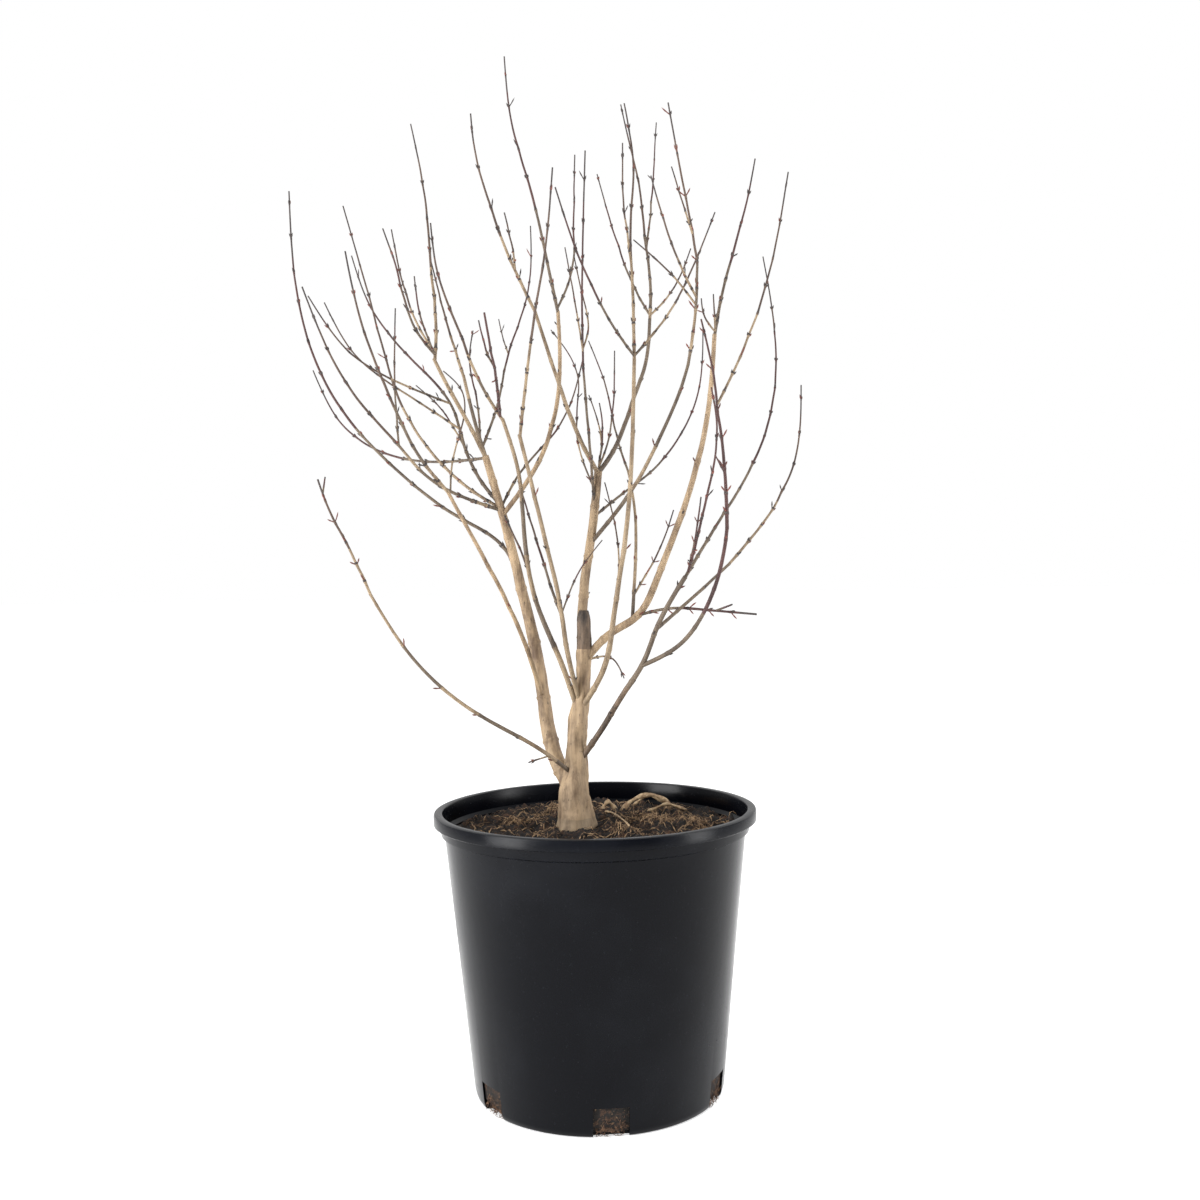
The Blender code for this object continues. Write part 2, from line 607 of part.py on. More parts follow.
POT = turned("pot", [
    (0, FLOOR), (FOOT_RADIUS - 6, FLOOR), (wall_radius(8) - WALL, 8),
    (wall_radius(STEP_Z) - WALL, STEP_Z - 1), (RIM_INNER, STEP_Z + 2), (RIM_INNER, POT_HEIGHT - 1),
    (RIM_INNER + 1, POT_HEIGHT), (RIM_OUTER - 1.2, POT_HEIGHT), (RIM_OUTER, POT_HEIGHT - 1.4),
    (RIM_OUTER, POT_HEIGHT - SKIRT_HIGH), (RIM_OUTER - WALL, POT_HEIGHT - SKIRT_HIGH),
    (RIM_OUTER - WALL, POT_HEIGHT - WALL), (RIM_INNER + WALL, POT_HEIGHT - WALL),
    (RIM_INNER + WALL, STEP_Z + 1.5), (wall_radius(STEP_Z), STEP_Z - 1.5), (wall_radius(6), 6),
    (FOOT_RADIUS - 1.5, 1.5), (FOOT_RADIUS - 4.5, 0), (0, 0)], MAT_POT)
HOLES = collection("holes")
for number in range(HOLE_COUNT):
    turn = math.radians(HOLE_TURN + 360.0 / HOLE_COUNT * number) - math.pi / 2
    bpy.ops.mesh.primitive_cube_add(size=1.0)
    hole = bpy.context.object
    hole.scale = (14 * MM, HOLE_WIDE * MM, (HOLE_HIGH + 3) * MM)
    hole.rotation_euler[2] = turn
    spot = Vector((math.cos(turn), math.sin(turn), 0.0)) * 107 * MM
    hole.location = spot + Vector((0, 0, (HOLE_HIGH - 3) / 2 * MM))
    for home in list(hole.users_collection):
        home.objects.unlink(hole)
    HOLES.objects.link(hole)
boolean(POT, "DIFFERENCE", HOLES)

# Soil: fills the pot, flat under the trunk
SOIL = turned("soil", [
    (0, SOIL_Z), (45, SOIL_Z), (80, SOIL_Z + 1.8), (wall_radius(STEP_Z) - WALL - 9, SOIL_Z - 1.5),
    (wall_radius(STEP_Z - 6) - WALL - GAP - 0.3, SOIL_Z - 4),
    (wall_radius(9) - WALL - GAP - 0.3, 9), (FOOT_RADIUS - 7.2, FLOOR + GAP),
    (0, FLOOR + GAP)], MAT_SOIL)
for section in SECTIONS.values():
    bpy.data.objects.remove(section, do_unlink=True)
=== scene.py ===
# A young leafless maple in a black nursery pot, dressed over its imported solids.
import math
import random

import bmesh
import bpy
import numpy as np
from mathutils import Matrix, Vector, noise


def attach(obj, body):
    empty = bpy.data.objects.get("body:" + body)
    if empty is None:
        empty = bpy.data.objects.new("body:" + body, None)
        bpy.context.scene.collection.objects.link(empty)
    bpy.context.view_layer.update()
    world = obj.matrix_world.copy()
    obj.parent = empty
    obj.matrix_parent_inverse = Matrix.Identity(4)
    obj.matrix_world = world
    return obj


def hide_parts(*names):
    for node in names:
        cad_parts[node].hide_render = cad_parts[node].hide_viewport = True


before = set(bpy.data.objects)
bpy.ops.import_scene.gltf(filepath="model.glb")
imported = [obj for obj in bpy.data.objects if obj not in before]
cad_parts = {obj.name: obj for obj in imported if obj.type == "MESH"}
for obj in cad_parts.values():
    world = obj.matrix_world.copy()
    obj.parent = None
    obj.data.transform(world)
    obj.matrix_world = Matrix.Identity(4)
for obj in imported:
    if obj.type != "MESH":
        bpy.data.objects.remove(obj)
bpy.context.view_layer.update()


# Pot: a blow-moulded black nursery pot, rim folded down as a skirt, one step below it,
# a straight tapering wall and six drain holes at its foot. Turned, then the holes cut.
MM = 0.001
SCENE = bpy.context.scene
POT_HEIGHT = 244.0
RIM_OUTER = 140.0
RIM_INNER = 132.3
SKIRT_HIGH = 9.5
STEP_Z = 226.0
FOOT_RADIUS = 108.0
WALL = 1.6
FLOOR_THICK = 2.2
POT_STEPS = 160
SHARP_EDGE = math.radians(32)
HOLE_COUNT = 6
HOLE_WIDE = 29.0
HOLE_HIGH = 25.0
HOLE_DEEP = 14.0
HOLE_REACH = 107.0
HOLE_TURN = 5.0
UNDER_FOOT = 3.0
POT_BLACK = (0.0012, 0.0015, 0.0028)
# Pale grey of the pot's dust, also laid as a paler band over the top of the rim.
POT_PALE = (0.012, 0.0135, 0.018)


class Sock:
    """A shader socket; arithmetic on it adds Math nodes."""

    def __init__(self, tree, out):
        self.tree = tree
        self.out = out

    def math(self, kind, *values):
        return self.node("ShaderNodeMath", {"operation": kind}, *values)

    def node(self, kind, settings, *values, out=0):
        """Any other node: its settings first, then the values or links of its sockets."""
        made = self.tree.nodes.new(kind)
        for key, value in settings.items():
            setattr(made, key, value)
        named = values[0] if values and isinstance(values[0], dict) else dict(enumerate(values))
        for key, value in named.items():
            if isinstance(value, Sock):
                self.tree.links.new(value.out, made.inputs[key])
            elif value is not None:
                made.inputs[key].default_value = value
        return Sock(self.tree, made.outputs[out])

    def __add__(self, other):
        return self.math("ADD", self, other)

    def __radd__(self, other):
        return self.math("ADD", other, self)

    def __mul__(self, other):
        return self.math("MULTIPLY", self, other)

    def __rmul__(self, other):
        return self.math("MULTIPLY", other, self)

    def above(self, low, high):
        """0 below low, 1 above high, smooth between."""
        return self.node("ShaderNodeMapRange", {"interpolation_type": "SMOOTHSTEP"},
                         self, low, high)

    def blend(self, first, second):
        """A colour between two, by this factor."""
        colours = [v if isinstance(v, Sock) else (*v, 1.0) for v in (first, second)]
        return self.node("ShaderNodeMix", {"data_type": "RGBA"},
                         {0: self, 6: colours[0], 7: colours[1]}, out=2)

    def grain(self, scale, detail=4.0, rough=0.6, stretch=(1, 1, 1)):
        """Noise in the object's own coordinates; this socket is the coordinate."""
        spot = self.node("ShaderNodeMapping", {}, {"Vector": self, "Scale": stretch})
        return self.node("ShaderNodeTexNoise", {}, {"Vector": spot, "Scale": scale,
                                                    "Detail": detail, "Roughness": rough})


def material(name, build, **fixed):
    """A Principled material; build gives what varies, from the object's coordinates."""
    made = bpy.data.materials.new(name)
    made.use_nodes = True
    tree = made.node_tree
    shader = tree.nodes["Principled BSDF"]
    for key, value in fixed.items():
        shader.inputs[key.replace("_", " ")].default_value = value
    where = Sock(tree, tree.nodes.new("ShaderNodeTexCoord").outputs["Object"])
    for key, value in build(where).items():
        tree.links.new(value.out, shader.inputs[key.replace("_", " ")])
    return made


def bump(height, strength, distance):
    return height.node("ShaderNodeBump", {}, {"Strength": strength, "Distance": distance,
                                              "Height": height})


def add_mesh(name, verts, faces, tones, picks=None):
    """A smooth mesh object, with its materials dealt to the faces by picks."""
    data = bpy.data.meshes.new(name)
    data.from_pydata([tuple(v) for v in verts], [], faces)
    for tone in tones:
        data.materials.append(tone)
    if picks is not None:
        data.polygons.foreach_set("material_index", picks)
    data.polygons.foreach_set("use_smooth", [True] * len(data.polygons))
    data.update()
    made = bpy.data.objects.new(name, data)
    SCENE.collection.objects.link(made)
    return made


def face_outward(made):
    shape = bmesh.new()
    shape.from_mesh(made.data)
    bmesh.ops.recalc_face_normals(shape, faces=shape.faces)
    shape.to_mesh(made.data)
    shape.free()


def turned(profile, steps):
    """Vertices and faces of a turned shape whose profile starts and ends on the axis."""
    ring = profile[1:-1]
    turn = np.linspace(0, 2 * math.pi, steps, endpoint=False)
    verts = [(0.0, 0.0, profile[0][1] * MM), (0.0, 0.0, profile[-1][1] * MM)]
    verts += [(r * math.cos(t) * MM, r * math.sin(t) * MM, z * MM) for r, z in ring for t in turn]
    faces = []
    for k in range(len(ring) - 1):
        for j in range(steps):
            a, b = 2 + k * steps + j, 2 + k * steps + (j + 1) % steps
            faces.append((a, a + steps, b + steps, b))
    last = 2 + (len(ring) - 1) * steps
    for j in range(steps):
        faces.append((0, 2 + j, 2 + (j + 1) % steps))
        faces.append((1, last + (j + 1) % steps, last + j))
    return verts, faces


def wall_radius(z):
    """Outside of the tapering wall at a height."""
    return FOOT_RADIUS + (RIM_INNER - FOOT_RADIUS) * z / POT_HEIGHT


def pot_look(where):
    cloud = where.grain(9.0, 3.0)
    speck = where.grain(420.0, 2.0).above(0.66, 0.74)
    scuff = where.grain(60.0, 5.0, 0.7, (1, 1, 0.25)).above(0.62, 0.8)
    height = where.node("ShaderNodeSeparateXYZ", {}, where, out=2)
    # Pale marks: dust in clouds, specks and scuffs at random, and a patchy band at the top of the
    # rim made paler by height.
    pale_marks = (cloud.above(0.45, 0.75) * 0.22 + speck * 0.35 + scuff * 0.3
             + height.above(0.232, 0.246) * cloud * 0.35)
    return {"Base_Color": pale_marks.blend(POT_BLACK, POT_PALE),
            "Roughness": 0.13 + pale_marks * 0.4 + cloud * 0.1,
            "Normal": bump(where.grain(34.0, 3.0) + speck * 0.2, 0.12, 0.0012)}


POT_TONE = material("pot_plastic", pot_look, Specular_IOR_Level=0.1)
SKIRT_Z = POT_HEIGHT - SKIRT_HIGH
PROFILE = [
    (0, FLOOR_THICK), (FOOT_RADIUS - 6, FLOOR_THICK), (wall_radius(8) - WALL, 8),
    (wall_radius(STEP_Z) - WALL, STEP_Z - 1), (RIM_INNER, STEP_Z + 2),
    (RIM_INNER, POT_HEIGHT - 1.4), (RIM_INNER + 0.4, POT_HEIGHT - 0.4),
    (RIM_INNER + 1.4, POT_HEIGHT), (RIM_OUTER - 2, POT_HEIGHT),
    (RIM_OUTER - 0.6, POT_HEIGHT - 0.5), (RIM_OUTER, POT_HEIGHT - 2),
    (RIM_OUTER, SKIRT_Z + 0.5), (RIM_OUTER - 0.7, SKIRT_Z), (RIM_OUTER - WALL, SKIRT_Z + 0.5),
    (RIM_OUTER - WALL, POT_HEIGHT - WALL), (RIM_INNER + WALL, POT_HEIGHT - WALL),
    (RIM_INNER + WALL, STEP_Z + 1.5), (RIM_INNER + WALL - 0.3, STEP_Z),
    (wall_radius(STEP_Z), STEP_Z - 1.5), (wall_radius(120), 120), (wall_radius(6), 6),
    (FOOT_RADIUS - 0.4, 2.4), (FOOT_RADIUS - 1.8, 0.8), (FOOT_RADIUS - 4.5, 0), (0, 0)]
POT = add_mesh("nursery_pot", *turned(PROFILE, POT_STEPS), [POT_TONE])
face_outward(POT)
HOLE_TURNS = [math.radians(HOLE_TURN + 360.0 / HOLE_COUNT * k) - math.pi / 2
              for k in range(HOLE_COUNT)]
for turn in HOLE_TURNS:
    bpy.ops.mesh.primitive_cube_add(size=1.0)
    hole = bpy.context.object
    hole.scale = (HOLE_DEEP * MM, HOLE_WIDE * MM, (HOLE_HIGH + UNDER_FOOT) * MM)
    hole.rotation_euler[2] = turn
    hole.location = (HOLE_REACH * MM * math.cos(turn), HOLE_REACH * MM * math.sin(turn),
                     (HOLE_HIGH - UNDER_FOOT) / 2 * MM)
    cut = POT.modifiers.new("hole", "BOOLEAN")
    cut.operation = "DIFFERENCE"
    cut.object = hole
    bpy.context.view_layer.update()
    ready = POT.evaluated_get(bpy.context.evaluated_depsgraph_get())
    mesh = bpy.data.meshes.new_from_object(ready)
    POT.modifiers.clear()
    POT.data = mesh
    bpy.data.objects.remove(hole, do_unlink=True)
POT.data.polygons.foreach_set("use_smooth", [True] * len(POT.data.polygons))
POT.data.set_sharp_from_angle(angle=SHARP_EDGE)
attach(POT, "root")
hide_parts("pot")


# Soil: dark potting mix that fills the pot, lumpy on top and held together by roots. A
# turned body whose top is raised by noise, level at the trunk and sunk at the wall.
SOIL_Z = 226.0
SOIL_EASE = 0.6
SOIL_STEPS = 300
SOIL_RINGS = 92
SOIL_TOP_R = wall_radius(STEP_Z - 6) - WALL - SOIL_EASE
LUMP_SINK = 1.2
FOOT_ACROSS = -17.0
FOOT_ROOM = 14.0
# SOIL_DARK is the mix's dark crumbs and also painted shade in the hollows of the lumps.
SOIL_DARK = (0.006, 0.004, 0.003)
SOIL_BROWN = (0.085, 0.04, 0.02)
SOIL_FLECK = (0.22, 0.14, 0.075)


def soil_look(where):
    lump = where.grain(150.0, 6.0, 0.75)
    fleck = where.grain(520.0, 2.0).above(0.64, 0.7)
    # The lump noise also raises the bump, so the near-black end of this mottle lies in the
    # hollows: partly the mix's own tone, partly painted shade.
    tone = (lump.above(0.48, 0.68)).blend(SOIL_DARK, SOIL_BROWN)
    return {"Base_Color": (fleck * 0.7).blend(tone, SOIL_FLECK),
            "Normal": bump(lump + where.grain(700.0, 3.0) * 0.4, 0.9, 0.003)}


def soil_lumps(x, y):
    """The top's broad lumps in millimetres, and the share that level ground leaves."""
    spot = Vector((x, y, 0))
    lumps = noise.fractal(spot * 0.045, 1.0, 2.1, 4) * 6.0 + abs(noise.noise(spot * 0.13)) * 8.0
    level = (math.hypot(x - FOOT_ACROSS, y) - FOOT_ROOM) / FOOT_ROOM
    return lumps, min(1.0, max(0.0, level))


def soil_height(x, y):
    """Height of the lumpy top in millimetres."""
    lumps, share = soil_lumps(x, y)
    return SOIL_Z + (lumps - LUMP_SINK) * share


SOIL_TONE = material("soil", soil_look, Roughness=0.95)
profile = [(0, SOIL_Z)] + [(r, SOIL_Z) for r in np.linspace(1.5, SOIL_TOP_R, SOIL_RINGS)]
profile += [(wall_radius(z) - WALL - SOIL_EASE, z) for z in (215, 120, 30, 9)]
profile += [(FOOT_RADIUS - 7.2, FLOOR_THICK + 0.3), (0, FLOOR_THICK + 0.3)]
verts, faces = turned(profile, SOIL_STEPS)
verts = np.array(verts)
top = verts[:, 2] > (SOIL_Z - 1) * MM
for k in np.nonzero(top)[0]:
    x, y = verts[k, 0] / MM, verts[k, 1] / MM
    lumps, share = soil_lumps(x, y)
    rough = lumps + (noise.noise(Vector((x, y, 0)) * 0.55) * 2.2 - LUMP_SINK)
    edge = min(1.0, (SOIL_TOP_R + 0.5 - math.hypot(x, y)) / 8)
    verts[k, 2] += (rough * share * edge - 3.0 * (1 - edge)) * MM
SOIL = add_mesh("potting_soil", verts, faces, [SOIL_TONE])
face_outward(SOIL)
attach(SOIL, "root")
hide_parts("soil")


# Fibres, surface roots and root mats: thin dry roots, pale on the soil, where some lie
# in tufts, and dark in the drain holes. Tapering tubes that wander over what they lie on.
FIBRE_DARK = (0.05, 0.025, 0.013)
FIBRE_TAN = (0.40, 0.26, 0.14)
ROOT_DARK = (0.22, 0.135, 0.07)
ROOT_PALE = (0.50, 0.37, 0.22)
MAT_DARK = (0.018, 0.007, 0.004)
MAT_BROWN = (0.16, 0.085, 0.045)
CHANCE = random.Random(5)
HEADINGS = (0, 6.28)
FIBRE_COUNT = 230
FIBRE_GIRTHS = (0.22, 0.3, 0.4, 0.6)
FIBRE_SIDES = 4
LEAST_STEPS = 3
TRUNK_ROOM = 19.0
TUFTS = [(38, 30, 15), (62, 10, 17), (30, -30, 10), (-70, 20, 11), (88, -12, 12), (-40, 62, 12)]
TUFT_FIBRES = 46
SURFACE_ROOTS = [
    ([(24, 72, 226), (31, 76, 234), (42, 80, 239), (54, 83, 240), (64, 85, 235), (72, 88, 227)],
     2.6),
    ([(8, 60, 229), (15, 45, 231), (21, 22, 231), (27, -4, 231), (32, -28, 229)], 1.0),
    ([(4, 60, 227), (8, 62, 234), (12, 64, 238), (16, 66, 233), (20, 68, 228)], 2.2),
    ([(48, 60, 228), (66, 57, 236), (84, 60, 229)], 1.7),
    ([(36, 90, 229), (50, 95, 238), (66, 92, 230)], 1.5)]
ROOT_SIDES = 8
MAT_FIBRES = 110
MAT_REACH = 105.5
MAT_OUTMOST = 110.5
MAT_TOP = 24.0
MAT_STRIDE = 1.8


def fibre_look(dark, pale):
    def build(where):
        return {"Base_Color": where.grain(260.0, 3.0).above(0.36, 0.66).blend(dark, pale)}
    return build


def tube_mesh(line, half, sides, offset):
    """Vertices and faces of one tapering tube; half may have a column for each side."""
    line = np.asarray(line, float)
    half = np.asarray(half, float)
    along = np.gradient(line, axis=0)
    along /= np.linalg.norm(along, axis=1)[:, None]
    side = np.cross(along[0], (0.37, 0.91, 0.13))
    turn = np.linspace(0, 2 * math.pi, sides, endpoint=False)
    verts = []
    for k in range(len(line)):
        side = side - along[k] * (side @ along[k])
        side /= np.linalg.norm(side)
        other = np.cross(along[k], side)
        wide = np.broadcast_to(half[k], (sides,))
        verts.append(line[k] + wide[:, None] * (np.cos(turn)[:, None] * side
                                                + np.sin(turn)[:, None] * other))
    verts = np.concatenate(verts)
    faces = []
    for k in range(len(line) - 1):
        for j in range(sides):
            a, b = offset + k * sides + j, offset + k * sides + (j + 1) % sides
            faces.append((a, b, b + sides, a + sides))
    faces.append(tuple(offset + j for j in reversed(range(sides))))
    faces.append(tuple(offset + (len(line) - 1) * sides + j for j in range(sides)))
    return verts, faces


def strands(name, lines, tone, sides):
    """Many thin tubes as one mesh; a line is (points, half girths) in millimetres."""
    verts, faces = [], []
    for line, half in lines:
        more, flat = tube_mesh(np.array(line) * MM, np.array(half) * MM, sides,
                               sum(map(len, verts)))
        verts.append(more)
        faces += flat
    made = add_mesh(name, np.concatenate(verts), faces, [tone])
    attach(made, "root")
    return made


def wander(start, heading, long, bend, lift):
    """A thin line that wanders over the soil and arches by lift."""
    spot = np.array(start, float)
    line = [spot.copy()]
    many = max(4, int(long / 3.0))
    for k in range(many):
        heading += CHANCE.gauss(0, bend)
        spot[:2] += np.array([math.cos(heading), math.sin(heading)]) * long / many
        if math.hypot(*spot[:2]) > SOIL_TOP_R - 3:
            break
        spot[2] = soil_height(*spot[:2]) + 0.5 + lift * math.sin(math.pi * (k + 1) / many)
        line.append(spot.copy())
    return line


FIBRE_TONE = material("fibre", fibre_look(FIBRE_DARK, FIBRE_TAN), Roughness=0.8)
ROOT_TONE = material("pale_root", fibre_look(ROOT_DARK, ROOT_PALE), Roughness=0.7)
MAT_TONE = material("root_mat", fibre_look(MAT_DARK, MAT_BROWN), Roughness=0.85)
fibres = []
while len(fibres) < FIBRE_COUNT:
    reach = SOIL_TOP_R * math.sqrt(CHANCE.random())
    angle = CHANCE.uniform(0, 2 * math.pi)
    x, y = reach * math.cos(angle), reach * math.sin(angle)
    if reach > SOIL_TOP_R - 6 or math.hypot(x - FOOT_ACROSS, y) < TRUNK_ROOM:
        continue
    line = wander((x, y, soil_height(x, y) + 0.3), CHANCE.uniform(*HEADINGS),
                  CHANCE.uniform(9, 38), 0.35, CHANCE.uniform(0, 4))
    if len(line) > LEAST_STEPS:
        size = CHANCE.choice(FIBRE_GIRTHS)
        fibres.append((line, np.linspace(size, size * 0.4, len(line))))
for middle_x, middle_y, wide in TUFTS:
    for _ in range(TUFT_FIBRES):
        x = CHANCE.gauss(middle_x, wide * 0.5)
        y = CHANCE.gauss(middle_y, wide * 0.5)
        if math.hypot(x, y) > SOIL_TOP_R - 8 or math.hypot(x - FOOT_ACROSS, y) < TRUNK_ROOM + 1:
            continue
        start = (x, y, soil_height(x, y) + CHANCE.uniform(0, 4))
        line = wander(start, CHANCE.uniform(*HEADINGS), CHANCE.uniform(8, 20), 0.8,
                      CHANCE.uniform(1, 6))
        if len(line) > LEAST_STEPS:
            fibres.append((line, np.linspace(0.42, 0.18, len(line))))
FIBRES = strands("soil_fibres", fibres, FIBRE_TONE, FIBRE_SIDES)

roots = []
for path, thick in SURFACE_ROOTS:
    at = np.linspace(0, 1, 24)
    given = np.linspace(0, 1, len(path))
    path = np.array(path, float)
    line = np.array([np.interp(at, given, path[:, k]) for k in range(3)]).T
    for _ in range(3):
        line[1:-1] = (line[:-2] + 2 * line[1:-1] + line[2:]) / 4
    roots.append((line, thick * (0.8 + 0.25 * np.sin(at * 17))))
ROOTS = strands("surface_roots", roots, ROOT_TONE, ROOT_SIDES)

mats = []
for turn in HOLE_TURNS:
    for _ in range(MAT_FIBRES):
        swing = turn + CHANCE.uniform(-13, 13) / HOLE_REACH
        height = CHANCE.uniform(2.5, MAT_TOP)
        reach = MAT_REACH + CHANCE.uniform(-1.5, 1.5)
        line = [(reach * math.cos(swing), reach * math.sin(swing), height)]
        heading = CHANCE.uniform(*HEADINGS)
        for _ in range(6):
            heading += CHANCE.gauss(0, 0.7)
            swing += math.cos(heading) * MAT_STRIDE / HOLE_REACH
            height = min(MAT_TOP, max(1.2, height + math.sin(heading) * MAT_STRIDE - 0.3))
            reach = min(MAT_OUTMOST, reach + CHANCE.gauss(0.15, 0.5))
            if abs(swing - turn) > 13.5 / HOLE_REACH:
                break
            line.append((reach * math.cos(swing), reach * math.sin(swing), height))
        if len(line) > LEAST_STEPS:
            size = CHANCE.uniform(0.2, 0.45)
            mats.append((line, np.linspace(size, size * 0.5, len(line))))
MATS = strands("root_mats", mats, MAT_TONE, FIBRE_SIDES)


# Trunk and boughs: live wood, each limb one mesh with the bark's relief, grown in order
# by the rule that also lays out the solids. The sawn dead stub is the trunk's own top.
GAP = 0.3
CLEAR = 1.1
# Where the plant was looked at from: a place is given by how far across and how high
# it stands on the plane through the trunk, and how far behind that plane it lies.
EYE_BACK = 1100.0
EYE_ACROSS = 7.6
EYE_HEIGHT = 445.0

# Trunk: across, height, depth, girth
TRUNK = [
    (-17.4, SOIL_Z + GAP, 0.0, 37.0), (-17.4, 233.0, 0.0, 32.0), (-17.4, 243.0, 0.0, 28.5),
    (-17.6, 258.0, 0.0, 27.0), (-15.6, 276.0, 0.0, 20.5), (-14.5, 300.0, 0.0, 16.8),
    (-12.8, 322.0, 0.0, 17.6), (-8.6, 346.0, 0.0, 13.0), (-7.2, 374.0, -1.0, 13.2),
    (-7.0, 394.0, -2.0, 13.0), (-6.8, 410.0, -3.0, 12.0), (-6.6, 416.0, -3.0, 8.0),
]

# Boughs: name, what it grows from, where it leaves, bends, tip, depth of tip, girth at
# foot and at tip.  A bend may give its own depth as a third value.
BOUGHS = [
    ("stem_left", "trunk", (-21, 256), [(-34, 290), (-43.5, 345), (-58, 425), (-77, 505, 8)],
     (-90, 552), 12, 15.0, 6.0),
    ("leader_right", "trunk", (-8, 372), [(-8.5, 402, 10), (-5, 445, 9), (2.5, 490, 7)],
     (8, 537), 6, 9.5, 7.0),
    ("bough_outer_left", "stem_left", (-45, 338), [(-67, 410), (-90, 458), (-110, 496)],
     (-124, 523), -45, 4.3, 3.0),
    ("bough_low_left", "trunk", (-17, 270),
     [(-36.5, 288, -15), (-60, 303.5, -20), (-99, 326, -27), (-158.5, 379.5, -38)],
     (-193, 434.5), -45, 3.8, 2.4),
    ("bough_mid_left", "trunk", (-13, 325),
     [(-28, 373, -9), (-48, 424.5, -15), (-57.5, 487, -24), (-61, 535, -32)],
     (-74.5, 584), -40, 5.0, 3.0),
    ("bough_mid_right", "trunk", (-12, 334),
     [(-22.5, 386, -13), (-27, 421, -16), (-36.5, 466, -20), (-46, 509, -28)],
     (-60, 570), -36, 4.4, 3.2),
    ("bough_centre_left", "stem_left", (-76, 501),
     [(-56, 526, 14), (-41.5, 550, 16), (-26.5, 598, 18)], (-24.5, 676), 22, 4.4, 3.2),
    ("bough_left_up", "stem_left", (-90, 552), [(-106, 584), (-122, 614)], (-133, 637), -25,
     3.8, 3.0),
    ("bough_left_back", "stem_left", (-90, 552), [(-98.5, 582)], (-107.5, 622), 45, 3.6, 2.8),
    ("bough_cross", "leader_right", (8, 537), [(-4, 558), (-23, 608)], (-45, 678), -45,
     4.0, 2.8),
    ("bough_centre_right", "leader_right", (8, 537), [(22.5, 556), (38, 595), (49, 623)],
     (55, 668), 50, 4.2, 3.0),
    ("bough_slant", "leader_right", (3, 474), [(20.5, 498), (38.5, 522), (61, 563), (83, 613)],
     (88, 629), -35, 3.8, 2.7),
    ("bough_inner_right", "trunk", (-6, 328),
     [(9.5, 364, -5), (19, 408, -12), (32.5, 493, -24), (38, 561, -30)],
     (41, 634), -35, 5.2, 3.0),
    ("bough_right", "trunk", (-3, 372),
     [(20, 398, -7), (37, 408, -10), (57.5, 442, -18), (86, 515, -28), (103.5, 582, -37)],
     (111, 654), -45, 7.2, 3.6),
    ("bough_right_back", "bough_right", (36, 407), [(39, 456, 15), (38.5, 509, 38)],
     (34, 537), 52, 3.2, 2.3),
    ("bough_dark", "trunk", (-8, 281),
     [(10.5, 317), (29.5, 347), (43, 367), (56, 398)], (82.5, 444), -60, 5.4, 3.8),
    ("bough_dark_outer", "bough_dark", (43, 367), [(75.5, 384), (98.5, 413.5), (112, 447)],
     (119.5, 487), -85, 3.8, 3.0),
    ("bough_pale_right", "bough_dark", (56, 398), [(90, 427)], (121.5, 455), -20, 3.2, 2.4),
]


def place(across, height, depth):
    grow = (EYE_BACK + depth) / EYE_BACK
    return np.array([EYE_ACROSS + (across - EYE_ACROSS) * grow, depth,
                     EYE_HEIGHT + (height - EYE_HEIGHT) * grow])


def seen(point):
    grow = (EYE_BACK + point[1]) / EYE_BACK
    return (EYE_ACROSS + (point[0] - EYE_ACROSS) / grow,
            EYE_HEIGHT + (point[2] - EYE_HEIGHT) / grow)


def spline(knots, at):
    """Natural cubic through the knots, by chord length; at runs from 0 to 1."""
    knots = np.asarray(knots, float)
    chord = np.r_[0.0, np.cumsum(np.linalg.norm(np.diff(knots[:, :2], axis=0), axis=1))]
    chord /= chord[-1]
    count = len(knots)
    if count == 2:
        return knots[0] + np.outer(at, knots[1] - knots[0])
    step = np.diff(chord)
    rows = np.zeros((count, count))
    rows[0, 0] = rows[-1, -1] = 1.0
    right = np.zeros((count, knots.shape[1]))
    for i in range(1, count - 1):
        rows[i, i - 1:i + 2] = step[i - 1], 2 * (step[i - 1] + step[i]), step[i]
        right[i] = 6 * ((knots[i + 1] - knots[i]) / step[i]
                        - (knots[i] - knots[i - 1]) / step[i - 1])
    curve = np.linalg.solve(rows, right)
    out = []
    for t in at:
        i = min(int(np.searchsorted(chord, t, side="right")) - 1, count - 2)
        a = (chord[i + 1] - t) / step[i]
        b = (t - chord[i]) / step[i]
        out.append(a * knots[i] + b * knots[i + 1] + step[i] ** 2 / 6
                   * ((a ** 3 - a) * curve[i] + (b ** 3 - b) * curve[i + 1]))
    return np.array(out)


class Limb:
    """A tapering limb: its centre line every 2 mm, and its half girth there."""

    def __init__(self, line, half):
        run = np.r_[0.0, np.cumsum(np.linalg.norm(np.diff(line, axis=0), axis=1))]
        self.long = run[-1]
        self.count = max(3, int(self.long / 2.0))
        at = np.linspace(0.0, self.long, self.count)
        self.line = np.array([np.interp(at, run, line[:, k]) for k in range(3)]).T
        self.half = np.interp(at, run, half)

    def nearest(self, across, height):
        spots = np.array([seen(p) for p in self.line])
        return int(np.argmin(np.hypot(spots[:, 0] - across, spots[:, 1] - height)))


LIMBS = {}


def clearance(line, half, others):
    """Least gap of each point of a line to the limbs already there."""
    least = np.full(len(line), 1e9)
    for limb in others:
        low = limb.line.min(axis=0) - 12
        high = limb.line.max(axis=0) + 12
        near = np.all((line > low) & (line < high), axis=1)
        if not near.any():
            continue
        gap = np.linalg.norm(line[near][:, None] - limb.line[None], axis=2) - limb.half
        least[near] = np.minimum(least[near], gap.min(axis=1) - half[near])
    return least


